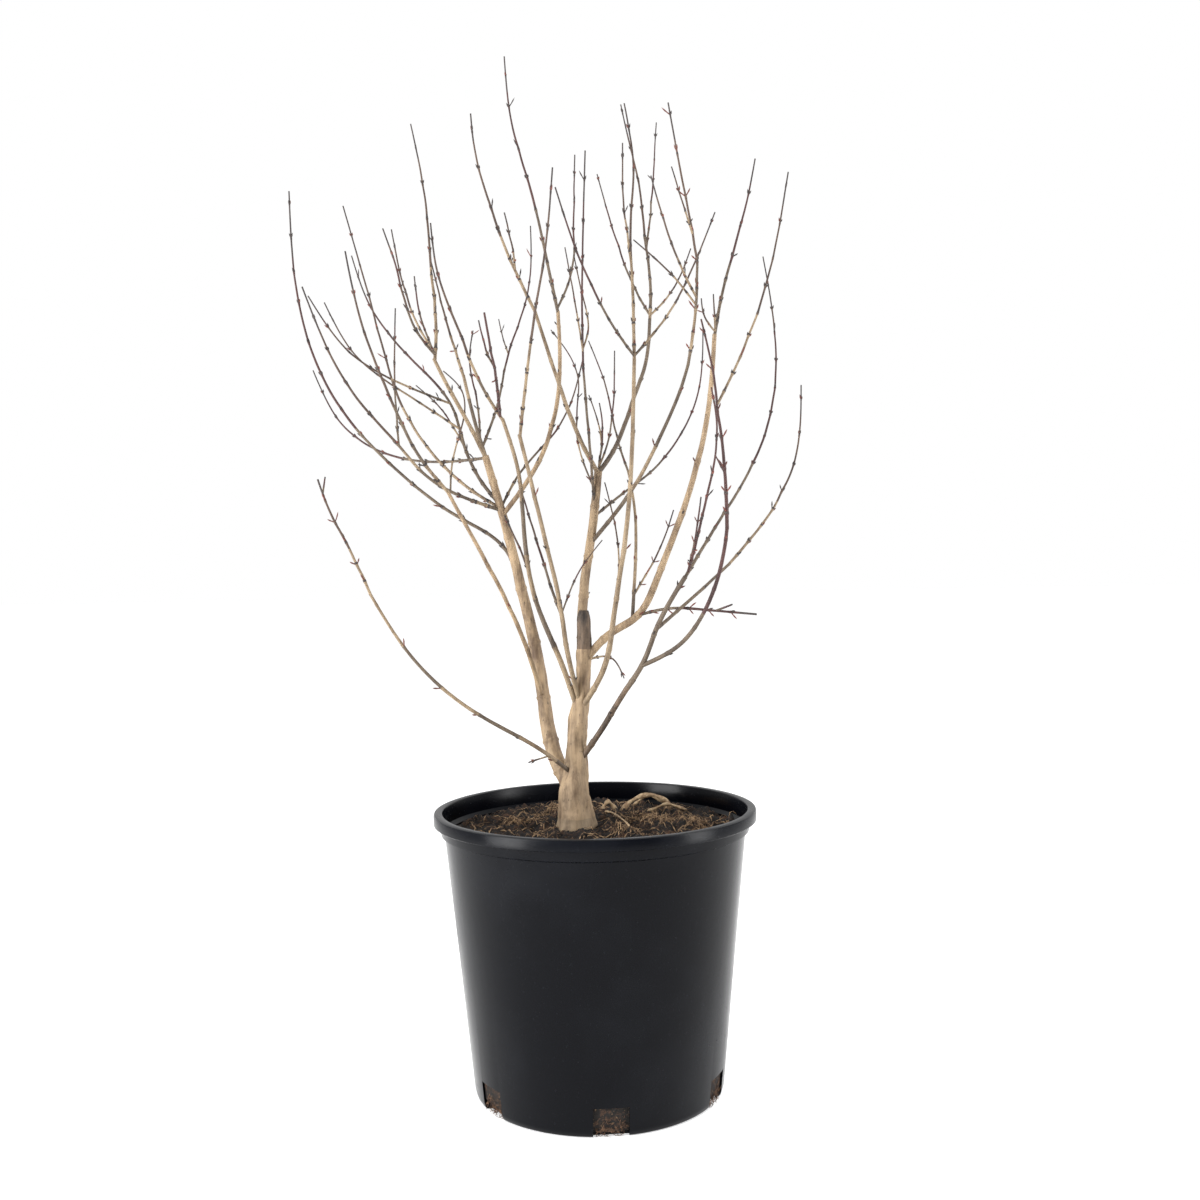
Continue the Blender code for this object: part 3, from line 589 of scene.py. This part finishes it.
def grow(row):
    """One limb from its row; it bows in depth until it is clear of those before it."""
    name, parent, leave, bends, tip, depth, girth, girth_tip = row
    source = LIMBS[parent]
    start = source.nearest(*leave)
    if start > source.count - 3:
        start = source.count - 2
    foot = source.line[start]
    spots = [(*seen(foot), foot[1])] + list(bends) + [(*tip, depth)]
    across = np.array([s[:2] for s in spots])
    chord = np.r_[0.0, np.cumsum(np.linalg.norm(np.diff(across, axis=0), axis=1))]
    chord /= chord[-1]
    known = [i for i, s in enumerate(spots) if len(s) == 3]
    at = np.linspace(0.0, 1.0, 61)
    flat = spline(across, at)
    if len(known) > 2:
        deep = spline(np.c_[chord[known], [0.0] * len(known), [spots[i][2] for i in known]],
                      at)[:, 2]
    else:
        deep = foot[1] + (depth - foot[1]) * (1.0 - (1.0 - at) ** 1.5)
    half = 0.5 * (girth + (girth_tip - girth) * at ** 0.9)
    best = None
    for bow in sorted(range(-34, 35, 2), key=lambda b: (abs(b), b)):
        sway = deep + bow * np.sin(np.pi * at ** 0.75)
        line = np.array([place(f[0], f[1], d) for f, d in zip(flat, sway)])
        limb = Limb(line, half)
        least = clearance(limb.line, limb.half, LIMBS.values())
        free = np.nonzero(least > 0.4)[0]
        first = free[0] if len(free) else len(least) - 1
        rest = least[first + 4:]
        worst = rest.min() if len(rest) else 9.0
        score = min(worst, CLEAR) - 0.02 * first
        if best is None or score > best[0] + 0.05:
            best = (score, limb)
        if worst >= CLEAR and first * 2.0 < 18.0:
            break
    LIMBS[name] = best[1]


TRUNK_AT = np.linspace(0.0, 1.0, 80)
TRUNK_KNOTS = np.array(TRUNK)
TRUNK_RUN = (TRUNK_KNOTS[:, 1] - TRUNK_KNOTS[0, 1]) / (TRUNK_KNOTS[-1, 1] - TRUNK_KNOTS[0, 1])
TRUNK_LINE = np.array([[np.interp(t, TRUNK_RUN, TRUNK_KNOTS[:, k]) for k in range(4)]
                       for t in TRUNK_AT])
LIMBS["trunk"] = Limb(np.array([place(*p[:3]) for p in TRUNK_LINE]), TRUNK_LINE[:, 3] / 2)
for entry in BOUGHS:
    grow(entry)


# Bark is pale tan and smooth on the old stems, grey-brown on the boughs, red-brown on
# the young shoots and dark at their ends; the colour changes from joint to joint.
def bark_look(pale, dark, fine=1.0):
    def build(where):
        streak = where.grain(170.0 * fine, 5.0, 0.7, (1, 1, 0.16))
        patch = where.grain(38.0, 4.0)
        dots = where.grain(640.0, 2.0, 0.5, (1, 1, 0.5)).above(0.66, 0.72)
        mixed = (streak * 0.6 + patch * 0.55).above(0.42, 0.78).blend(pale, dark)
        return {"Base_Color": (dots * 0.6).blend(mixed, tuple(v * 0.35 for v in dark)),
                "Roughness": 0.55 + streak * 0.3,
                "Normal": bump(streak + dots * 0.4, 0.55, 0.0007)}
    return build


PALE, TAN, GREY, BROWN, MAROON, TIP, DEAD, BUD = range(8)
TONES = [
    material("bark_pale", bark_look((0.36, 0.255, 0.15), (0.085, 0.05, 0.028))),
    material("bark_tan", bark_look((0.28, 0.205, 0.125), (0.09, 0.058, 0.034))),
    material("bark_grey", bark_look((0.13, 0.095, 0.062), (0.045, 0.031, 0.022))),
    material("shoot_brown", bark_look((0.085, 0.052, 0.034), (0.034, 0.019, 0.014))),
    material("shoot_maroon", bark_look((0.065, 0.024, 0.020), (0.028, 0.011, 0.010))),
    material("shoot_tip", bark_look((0.045, 0.034, 0.030), (0.018, 0.013, 0.012))),
    material("dead_wood", bark_look((0.16, 0.105, 0.065), (0.008, 0.006, 0.005), 0.7)),
    material("bud_red", bark_look((0.15, 0.036, 0.022), (0.055, 0.016, 0.012)))]
OLD_LIMBS = ("trunk", "stem_left", "leader_right", "bough_right", "bough_outer_left")
PALE_LIMBS = OLD_LIMBS + ("bough_centre_left",)
DARK_LIMBS = ("bough_dark", "bough_dark_outer", "spray_dark_outer", "spray_dark_outer.3",
              "spray_mid_front.2", "spray_dark_top.3")
RED_BUDS = ("spray_slant", "spray_dark_outer", "spray_low_tip", "spray_right_low",
            "bough_slant", "bough_low_left", "spray_dark_top.2", "spray_level")
RULE = random.Random(23)
# Joints of a spray and of a limb: the first one, the first step and the longest step.
SPRAY_JOINTS = (13.0, 15.0, 31.0)
LIMB_JOINTS = (26.0, 34.0, 48.0)
JOINT_GROW = 1.16
STOUT_LIMBS = ("trunk", "stem_left")
STOUT_SIDES = 40
LIMB_SIDES = 14
SPRAY_SIDES = 9
BUD_SIDES = 6
LIMB_STEP = 1.4
SPRAY_STEP = 1.8
FLARE_HIGH = 24.0
STUB_FROM = 382.0
BUDS_FROM = 284.0
BUD_SHAPE = np.array([0.75, 1.0, 0.95, 0.72, 0.42, 0.08])
SPUR_SHAPE = np.array([0.7, 0.62, 0.6, 0.8, 0.6, 0.1])


def tone_at(name, half, share, jitter):
    """Which bark a stretch of limb has, by its half girth and place."""
    if name in DARK_LIMBS:
        if name == "bough_dark" and half > 2.0 and share < 0.45:
            return DEAD
        return MAROON if half < 1.7 else GREY
    if half > 3.4 or name in PALE_LIMBS:
        return PALE
    if name.startswith("bough"):
        return TAN if jitter < 0.62 else GREY
    if share > 0.86:
        return TIP
    if share < 0.4:
        return TAN if jitter < 0.4 else GREY
    if half > 1.1 and share < 0.6:
        return GREY
    return BROWN if jitter < 0.55 else MAROON


def joints(limb, spray):
    """Places along a limb where it has a joint, with buds in opposite pairs."""
    at, step, longest = SPRAY_JOINTS if spray else LIMB_JOINTS
    found = []
    while at < limb.long - 5.0:
        found.append(at)
        at += step * RULE.uniform(0.82, 1.2)
        step = min(longest, step * JOINT_GROW)
    return found


def relief(name, line, half, at, sides):
    """Half girths round each ring: furrows, the root flare and the stub's ribs."""
    turn = np.linspace(0, 2 * math.pi, sides, endpoint=False)
    wide = np.repeat(half[:, None], sides, axis=1)
    rough = 0.17 if name == "trunk" else 0.07
    for k in range(len(at)):
        for j in range(sides):
            spot = Vector((math.cos(turn[j]) * 1.6, math.sin(turn[j]) * 1.6, at[k] * 0.045))
            wide[k, j] *= 1 + rough * noise.fractal(spot, 1.0, 2.0, 3)
    if name == "trunk":
        low = np.clip((SOIL_Z + FLARE_HIGH - line[:, 2]) / FLARE_HIGH, 0, 1)[:, None]
        wide *= 1 + low ** 1.5 * (0.10 * np.cos(3 * turn + 0.6) + 0.05 * np.cos(5 * turn))
        wide[line[:, 2] > STUB_FROM] *= 0.97 + 0.05 * np.sign(np.sin(7 * turn + 1.0))
    return wide


def buds(name, line, half, at, places, mood):
    """Buds and short spurs at the joints: points, half girths and tone of each."""
    for number, spot in enumerate(places):
        k = int(np.searchsorted(at, spot))
        if k < 1 or k > len(at) - 2:
            continue
        if name == "trunk" and not BUDS_FROM < line[k, 2] < STUB_FROM:
            continue
        ahead = line[k + 1] - line[k - 1]
        ahead /= np.linalg.norm(ahead)
        swing = mood * 6 + number * math.pi / 2
        across = np.cross(ahead, (math.cos(swing), math.sin(swing), 0.05))
        across /= np.linalg.norm(across)
        for way in (1, -1):
            if not name.startswith("spray") and RULE.random() < 0.55:
                continue
            long = RULE.uniform(2.2, 3.6) if half[k] < 2 else RULE.uniform(2.5, 4.5)
            red = name in RED_BUDS and RULE.random() < 0.6
            red = red or (name == "trunk" and RULE.random() < 0.7)
            if RULE.random() < 0.10 or red:
                long = RULE.uniform(4.5, 8.0)
            lean = (0.42, 0.9) if long < 4 else (0.75, 0.66)
            root = line[k] + across * way * half[k] * 0.55
            bits = np.linspace(0, 1, len(BUD_SHAPE))
            points = root + np.outer(bits * long, across * way * lean[0] + ahead * lean[1])
            points += np.outer(bits ** 2 * long * 0.18, ahead)
            size = min(0.95, 0.5 + half[k] * 0.28)
            girths = size * (SPUR_SHAPE if long > 4.2 else BUD_SHAPE)
            yield points, girths, BUD if red or RULE.random() < 0.3 else TIP


def dress(name, limb):
    """One limb with bark relief, swollen joints, buds and short spurs."""
    spray = name.startswith("spray")
    sides = STOUT_SIDES if name in STOUT_LIMBS else SPRAY_SIDES if spray else LIMB_SIDES
    many = int(limb.long / (SPRAY_STEP if spray else LIMB_STEP)) + 2
    at = np.linspace(0, limb.long, many)
    known = np.linspace(0, limb.long, limb.count)
    line = np.array([np.interp(at, known, limb.line[:, k]) for k in range(3)]).T
    half = np.interp(at, known, limb.half) * (1.08 if spray else 1.0)
    places = joints(limb, spray)
    swell = 0.34 if spray else 0.0 if name == "trunk" else 0.15
    for spot in places:
        half = half * (1 + swell * np.exp(-((at - spot) / 1.3) ** 2))
    kink = np.zeros_like(line)
    for spot in places:
        push = np.array([RULE.gauss(0, 0.3), RULE.gauss(0, 0.3), 0])
        kink += push * np.exp(-((at - spot) / 9.0) ** 2)[:, None]
    line = line + kink * np.sin(np.pi * at / limb.long)[:, None]
    wide = relief(name, line, half, at, sides)
    verts, faces = tube_mesh(line * MM, wide * MM, sides, 0)
    edges = [0.0] + places + [limb.long]
    jitter = [RULE.random() for _ in edges]
    mood = RULE.random()
    picks = []
    for k in range(many - 1):
        stretch = int(np.searchsorted(edges, at[k], side="right")) - 1
        share = at[k] / limb.long
        tone = tone_at(name, limb.half[int(share * (limb.count - 1))], share,
                       0.65 * mood + 0.35 * jitter[stretch])
        if name == "trunk" and line[k, 2] > STUB_FROM:
            tone = DEAD
        if name == "trunk" and line[k, 2] < SOIL_Z + 9:
            tone = TAN
        if spray and min(abs(at[k] - s) for s in places or [99.0]) < 0.7 and tone != PALE:
            tone = TIP
        picks += [tone] * sides
    picks += [picks[0], picks[-1]]
    verts = [verts]
    for points, girths, tone in buds(name, line, half, at, places, mood):
        more, flat = tube_mesh(points * MM, girths * MM, BUD_SIDES, sum(map(len, verts)))
        verts.append(more)
        faces += flat
        picks += [tone] * len(flat)
    return np.concatenate(verts), faces, picks


def wear(members, name, slot):
    """One piece of the dressed limbs named in members."""
    verts, faces, picks = [], [], []
    for member in members:
        more, flat, pick = dress(member, LIMBS[member])
        offset = sum(map(len, verts))
        verts.append(more)
        faces += [tuple(v + offset for v in face) for face in flat]
        picks += pick
    used = sorted(set(picks))
    made = add_mesh(name, np.concatenate(verts), faces, [TONES[k] for k in used],
                    [used.index(k) for k in picks])
    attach(made, "root")
    return made


for name in ["trunk"] + [row[0] for row in BOUGHS]:
    limb = wear([name], "bark_" + name, "bark" if name in OLD_LIMBS else "grey_bark")
    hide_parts(name)


# Sprays: live shoots, each stem with its side shoots grown by the same rule as the
# solids; buds sit in opposite pairs, every pair turned a quarter from the last. The
# first row of a name is its stem, rows with a number grow from that stem.
SPRAYS = [
    ("spray_outer_left", "bough_outer_left", (-124, 523),
     [(-145, 549), (-172, 605), (-196, 672)], (-208, 731), -120, 2.8, 1.2),
    ("spray_far_left", "stem_left", (-64, 450),
     [(-76, 473), (-109, 496), (-165, 539), (-219, 602), (-247, 676)],
     (-255.5, 783.5), 25, 3.2, 1.2),
    ("spray_left_low", "stem_left", (-77, 503),
     [(-100, 512.5), (-136, 531), (-165, 562), (-200, 603)], (-246, 701), -70, 3.0, 1.2),
    ("spray_left_low.2", "spray_left_low", (-165, 562), [(-167, 600)], (-165.5, 681), -40,
     1.7, 1.0),
    ("spray_left_low.3", "spray_left_low", (-121, 521), [(-117.5, 551), (-110, 610)],
     (-125, 626), -5, 1.6, 1.0),
    ("spray_left_mid", "stem_left", (-77, 505),
     [(-101, 521), (-133, 551), (-163, 600), (-178, 651)], (-209, 770), 70, 2.8, 1.1),
    ("spray_left_high", "stem_left", (-79, 510),
     [(-92, 527), (-108.5, 563), (-119, 597), (-147, 631), (-189, 687)],
     (-202.5, 727), 140, 3.2, 1.1),
    ("spray_left_high.2", "spray_left_high", (-119, 597), [(-158, 614), (-204, 642)],
     (-241, 693), -20, 2.0, 1.1),
    ("spray_left_high.3", "spray_left_high", (-113, 575), [(-155, 605), (-200, 640)],
     (-227, 687), 50, 2.0, 1.1),
    ("spray_left_high.4", "spray_left_high", (-106, 558), [(-131, 597)], (-149, 614), 90,
     1.7, 1.0),
    ("spray_crown_left", "bough_left_up", (-133, 637),
     [(-130.5, 660), (-133.5, 710), (-137, 768)], (-149, 839.5), 60, 2.8, 1.1),
    ("spray_crown_left.2", "spray_crown_left", (-132.5, 640), [(-147, 668), (-160, 708)],
     (-167.5, 749), 15, 2.0, 1.1),
    ("spray_crown_left.3", "spray_crown_left", (-132.5, 640), [(-148, 662), (-160, 701)],
     (-175, 750), -70, 2.2, 1.1),
    ("spray_crown_left.4", "spray_crown_left", (-132.5, 640), [(-144, 674)],
     (-148.5, 708.5), -110, 1.8, 1.0),
    ("spray_back_left", "bough_left_back", (-107.5, 622), [(-119, 660), (-129.5, 703)],
     (-134, 722), 150, 2.6, 1.2),
    ("spray_inner_back", "bough_left_back", (-95, 565), [(-96.5, 600), (-102, 635)],
     (-98.5, 660.5), 110, 2.0, 1.1),
    ("spray_level_left", "stem_left", (-90, 552), [(-120, 547.5), (-162, 551), (-209, 576)],
     (-238, 628.5), 95, 2.5, 1.1),
    ("spray_mid_front", "bough_mid_left", (-74.5, 584),
     [(-90, 609), (-112.5, 665), (-128.5, 712)], (-133.5, 754), -150, 2.6, 1.1),
    ("spray_mid_front.2", "spray_mid_front", (-76, 587), [(-78.5, 612), (-84.5, 651)],
     (-88.5, 676), -185, 2.4, 1.4),
    ("spray_mid_front.3", "spray_mid_front.2", (-81, 629), [(-86, 640)], (-93.5, 669.5),
     -165, 1.6, 1.0),
    ("spray_mid_low", "bough_mid_left", (-48, 424.5), [(-55, 453), (-66, 481)],
     (-74, 500), -19, 2.2, 1.3),
    ("spray_mid_inner", "bough_mid_right", (-27, 409), [(-36.5, 443), (-48.5, 485)],
     (-62, 530), -6, 2.5, 1.2),
    ("spray_front_up", "bough_mid_right", (-60, 570),
     [(-53.5, 615), (-43.5, 680), (-34, 734)], (-27, 800), -150, 2.6, 1.1),
    ("spray_top", "bough_centre_left", (-24.5, 676),
     [(-34.5, 726), (-45.5, 778), (-60.5, 833)], (-67, 896), 10, 2.8, 1.1),
    ("spray_top.2", "spray_top", (-25, 679), [(-13, 706), (-9.5, 750)], (-7.5, 810.5), 70,
     2.0, 1.1),
    ("spray_crossing", "stem_left", (-77, 507), [(-59, 538), (-31, 569), (-12, 604)],
     (-3.5, 635), 65, 2.2, 1.1),
    ("spray_left_inner", "bough_left_back", (-93, 560),
     [(-79, 594), (-68, 640), (-50.5, 692)], (-47, 750), 185, 2.3, 1.1),
    ("spray_left_inner.2", "spray_left_inner", (-68, 640), [(-73, 655)], (-76, 670), 160,
     1.4, 0.9),
    ("spray_low_tip", "bough_low_left", (-193, 434.5), [(-213, 480), (-227, 508.5)],
     (-236, 534), -60, 2.3, 1.5),
    ("spray_low_tip.2", "spray_low_tip", (-231, 521), [], (-229.5, 536), -50, 1.6, 1.1),
    ("spray_cross_top", "bough_cross", (-45, 678), [(-67, 726), (-83.5, 774), (-95, 824)],
     (-97, 847.5), -80, 2.6, 1.1),
    ("spray_cross_top.2", "spray_cross_top", (-60.5, 712), [(-63, 732)], (-69.5, 762), -110,
     1.6, 1.0),
    ("spray_centre", "bough_centre_right", (55, 668),
     [(56, 698), (53, 728), (48.5, 777), (37.5, 831)], (33, 853), 110, 2.8, 1.1),
    ("spray_centre.2", "spray_centre", (53, 728), [(59.5, 781), (62, 818)], (63.5, 837),
     145, 1.9, 1.0),
    ("spray_centre.3", "spray_centre", (55, 671), [(43, 693), (31, 724)], (11.5, 793.5),
     170, 2.1, 1.1),
    ("spray_centre.4", "spray_centre", (55, 671), [(70.5, 686)], (91.5, 728), 120, 1.9, 1.1),
    ("spray_fork", "leader_right", (8, 537), [(11, 556), (12.5, 575)], (10, 596), 30,
     2.0, 1.1),
    ("spray_fork.2", "spray_fork", (11.5, 560), [(8, 581)], (1, 603), 45, 1.5, 0.9),
    ("spray_fork.3", "spray_fork", (9, 541), [(15.5, 558), (20.5, 582)], (24, 641), 10,
     1.7, 1.0),
    ("spray_central", "leader_right", (3, 505), [(0.5, 563), (-3.5, 643), (-3, 704)],
     (1.5, 814), -60, 2.4, 1.1),
    ("spray_central.2", "spray_central", (-3.5, 643), [(1.5, 661), (-3, 690)],
     (-10, 725), -40, 1.5, 0.9),
    ("spray_central.3", "spray_central", (-3.5, 640), [(-9.5, 684)], (-17.5, 731), -85,
     1.5, 0.9),
    ("spray_thin_back", "leader_right", (4, 518), [(-10.5, 581), (-8, 618)], (-31, 660),
     45, 1.6, 0.9),
    ("spray_slant", "bough_slant", (88, 629), [(96, 686), (95, 727), (88.5, 768)],
     (74, 854), -100, 2.6, 1.1),
    ("spray_slant.2", "spray_slant", (93, 740), [(80.5, 784)], (76, 799), -130, 1.5, 0.9),
    ("spray_slant.3", "spray_slant", (96, 686), [(83.5, 711)], (58, 791.5), -150, 1.9, 1.0),
    ("spray_slant.4", "spray_slant", (95, 680), [(80.5, 699)], (42, 736.5), -65, 1.7, 1.0),
    ("spray_slant_low", "leader_right", (4, 497),
     [(33, 520), (56, 537.5), (78, 564), (93.5, 595)], (101, 660), 150, 2.3, 1.1),
    ("spray_inner_top", "bough_inner_right", (41, 634),
     [(40.5, 693), (40, 753), (43, 797)], (36, 854), -65, 2.8, 1.1),
    ("spray_inner_top.2", "spray_inner_top", (39.8, 714), [(34, 773)], (34, 820), -90,
     1.7, 1.0),
    ("spray_inner_top.3", "spray_inner_top", (41, 637), [(24.5, 660), (9, 689), (-7.5, 728)],
     (-25, 783), -140, 2.1, 1.1),
    ("spray_inner_top.4", "spray_inner_top", (41, 637), [(65, 664), (93, 712)],
     (113, 759), 10, 2.1, 1.1),
    ("spray_thin_front", "bough_inner_right", (23, 427), [(24.5, 459), (22.5, 485)],
     (13.5, 527), 14, 1.7, 1.0),
    ("spray_right_top", "bough_right", (111, 654), [(117, 683), (126, 717), (141, 769)],
     (148.5, 804.5), -30, 2.7, 1.1),
    ("spray_right_top.2", "spray_right_top", (111, 657), [(103, 668)], (100, 685), -75,
     1.6, 1.0),
    ("spray_right_top.3", "spray_right_top", (111, 657), [], (110.5, 688.5), -62, 1.6, 1.0),
    ("spray_right_back", "bough_right_back", (34, 537), [(23, 573), (17.5, 603)],
     (1.5, 650), 130, 2.0, 1.0),
    ("spray_right_low", "bough_right_back", (38.5, 428), [(61.5, 471)], (73, 502), 48,
     1.9, 1.1),
    ("spray_level", "bough_right", (40, 411), [(69, 416.5), (97, 415)], (144, 410), -60,
     2.6, 1.6),
    ("spray_level.2", "spray_level", (108, 412.5), [], (123, 419), -54, 1.9, 1.4),
    ("spray_dark_top", "bough_dark", (82.5, 444),
     [(101, 474), (124, 509), (151, 560), (164, 632)], (154, 720), 120, 2.8, 1.1),
    ("spray_dark_top.2", "spray_dark_top", (84, 447), [(92, 480)], (97, 513), -45, 1.9, 1.2),
    ("spray_dark_top.3", "spray_dark_top", (84, 447),
     [(97, 492), (103.5, 519), (112, 568)], (107.5, 608), -170, 2.3, 1.1),
    ("spray_dark_outer", "bough_dark_outer", (119.5, 487),
     [(118, 538), (115, 570), (108, 627)], (99.5, 667), -110, 3.0, 1.3),
    ("spray_dark_outer.2", "spray_dark_outer", (113, 593), [(137, 643), (161.5, 715)],
     (177, 792.5), -50, 2.1, 1.1),
    ("spray_dark_outer.3", "spray_dark_outer", (118, 534), [], (110.5, 548), -116, 1.6, 1.0),
    ("spray_far_right", "bough_pale_right", (121.5, 455), [(159.5, 502), (178, 540)],
     (185.5, 608.5), 40, 2.4, 1.1),
    ("spray_hanging", "trunk", (-3, 371), [(16, 374.5)], (27.5, 356), -22, 1.8, 1.0),
    ("spray_diagonal", "bough_mid_right", (-27, 414), [(-10, 450)], (10.5, 477), -22,
     1.5, 0.9),
    ("spray_foot", "bough_low_left", (-39, 290), [], (-57.5, 284), -20, 1.6, 1.1),
]

MEMBERS = {}
for row in SPRAYS:
    grow(row)
    MEMBERS.setdefault(row[0].split(".")[0], []).append(row[0])
for name, members in MEMBERS.items():
    spray = wear(members, "twigs_" + name, "shoot")
    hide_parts(name)


# Stage: a white floor and world, soft boxes at both sides that light the pot's wall, a
# soft light overhead, and the camera at the photograph's angle.
FLOOR_WHITE = (0.93, 0.93, 0.93, 1)
PITCH = math.radians(1.05)
ROLL = math.radians(-1.0)
SENSOR = 36.0
FOCAL_SHARE = 1263.0 / 1200.0
bpy.ops.mesh.primitive_plane_add(size=60)
FLOOR_PLANE = bpy.context.object
FLOOR_PLANE.name = "floor"
FLOOR_TONE = material("floor_white", lambda where: {}, Base_Color=FLOOR_WHITE, Roughness=0.9,
                      Emission_Color=(1, 1, 1, 1), Emission_Strength=0.50,
                      Specular_IOR_Level=0.05)
FLOOR_PLANE.data.materials.append(FLOOR_TONE)
WORLD = bpy.data.worlds.new("studio")
SCENE.world = WORLD
WORLD.use_nodes = True
tree = WORLD.node_tree
back = tree.nodes["Background"]
facing = Sock(tree, tree.nodes.new("ShaderNodeTexCoord").outputs["Generated"])
seen_straight = Sock(tree, tree.nodes.new("ShaderNodeLightPath").outputs["Is Camera Ray"])
behind = facing.node("ShaderNodeSeparateXYZ", {}, facing, out=1).above(-0.75, 0.25)
glow = (0.10 + behind * 0.75).blend((0, 0, 0), (1, 1, 1))
tree.links.new(seen_straight.blend(glow, (1, 1, 1)).out, back.inputs["Color"])
back.inputs["Strength"].default_value = 1.0


def soft_box(name, spot, aim, wide, high, watts):
    data = bpy.data.lights.new(name, "AREA")
    data.shape = "RECTANGLE"
    data.size = wide
    data.size_y = high
    data.energy = watts
    made = bpy.data.objects.new(name, data)
    made.location = spot
    made.rotation_euler = (Vector(aim) - Vector(spot)).to_track_quat("-Z", "Y").to_euler()
    SCENE.collection.objects.link(made)


soft_box("left_box", (-1.7, -1.0, 0.6), (0, 0, 0.25), 0.9, 1.3, 58)
soft_box("right_box", (1.8, -0.55, 0.6), (0, 0, 0.25), 0.6, 1.3, 30)
soft_box("top_box", (0.1, -0.9, 2.3), (0, 0, 0.4), 1.6, 1.2, 24)

EYE = Vector((EYE_ACROSS * MM, -EYE_BACK * MM, EYE_HEIGHT * MM))
ahead = Vector((0, math.cos(PITCH), -math.sin(PITCH)))
right = Vector((1, 0, 0))
upward = right.cross(ahead)
rolled = math.cos(ROLL) * right + math.sin(ROLL) * upward
upward = -math.sin(ROLL) * right + math.cos(ROLL) * upward
lens = bpy.data.cameras.new("camera")
lens.sensor_width = SENSOR
lens.lens = SENSOR * FOCAL_SHARE
CAMERA = bpy.data.objects.new("camera", lens)
CAMERA.matrix_world = (Matrix.Translation(EYE)
                       @ Matrix((rolled, upward, -ahead)).transposed().to_4x4())
SCENE.collection.objects.link(CAMERA)
SCENE.camera = CAMERA
SCENE.view_settings.view_transform = "Standard"
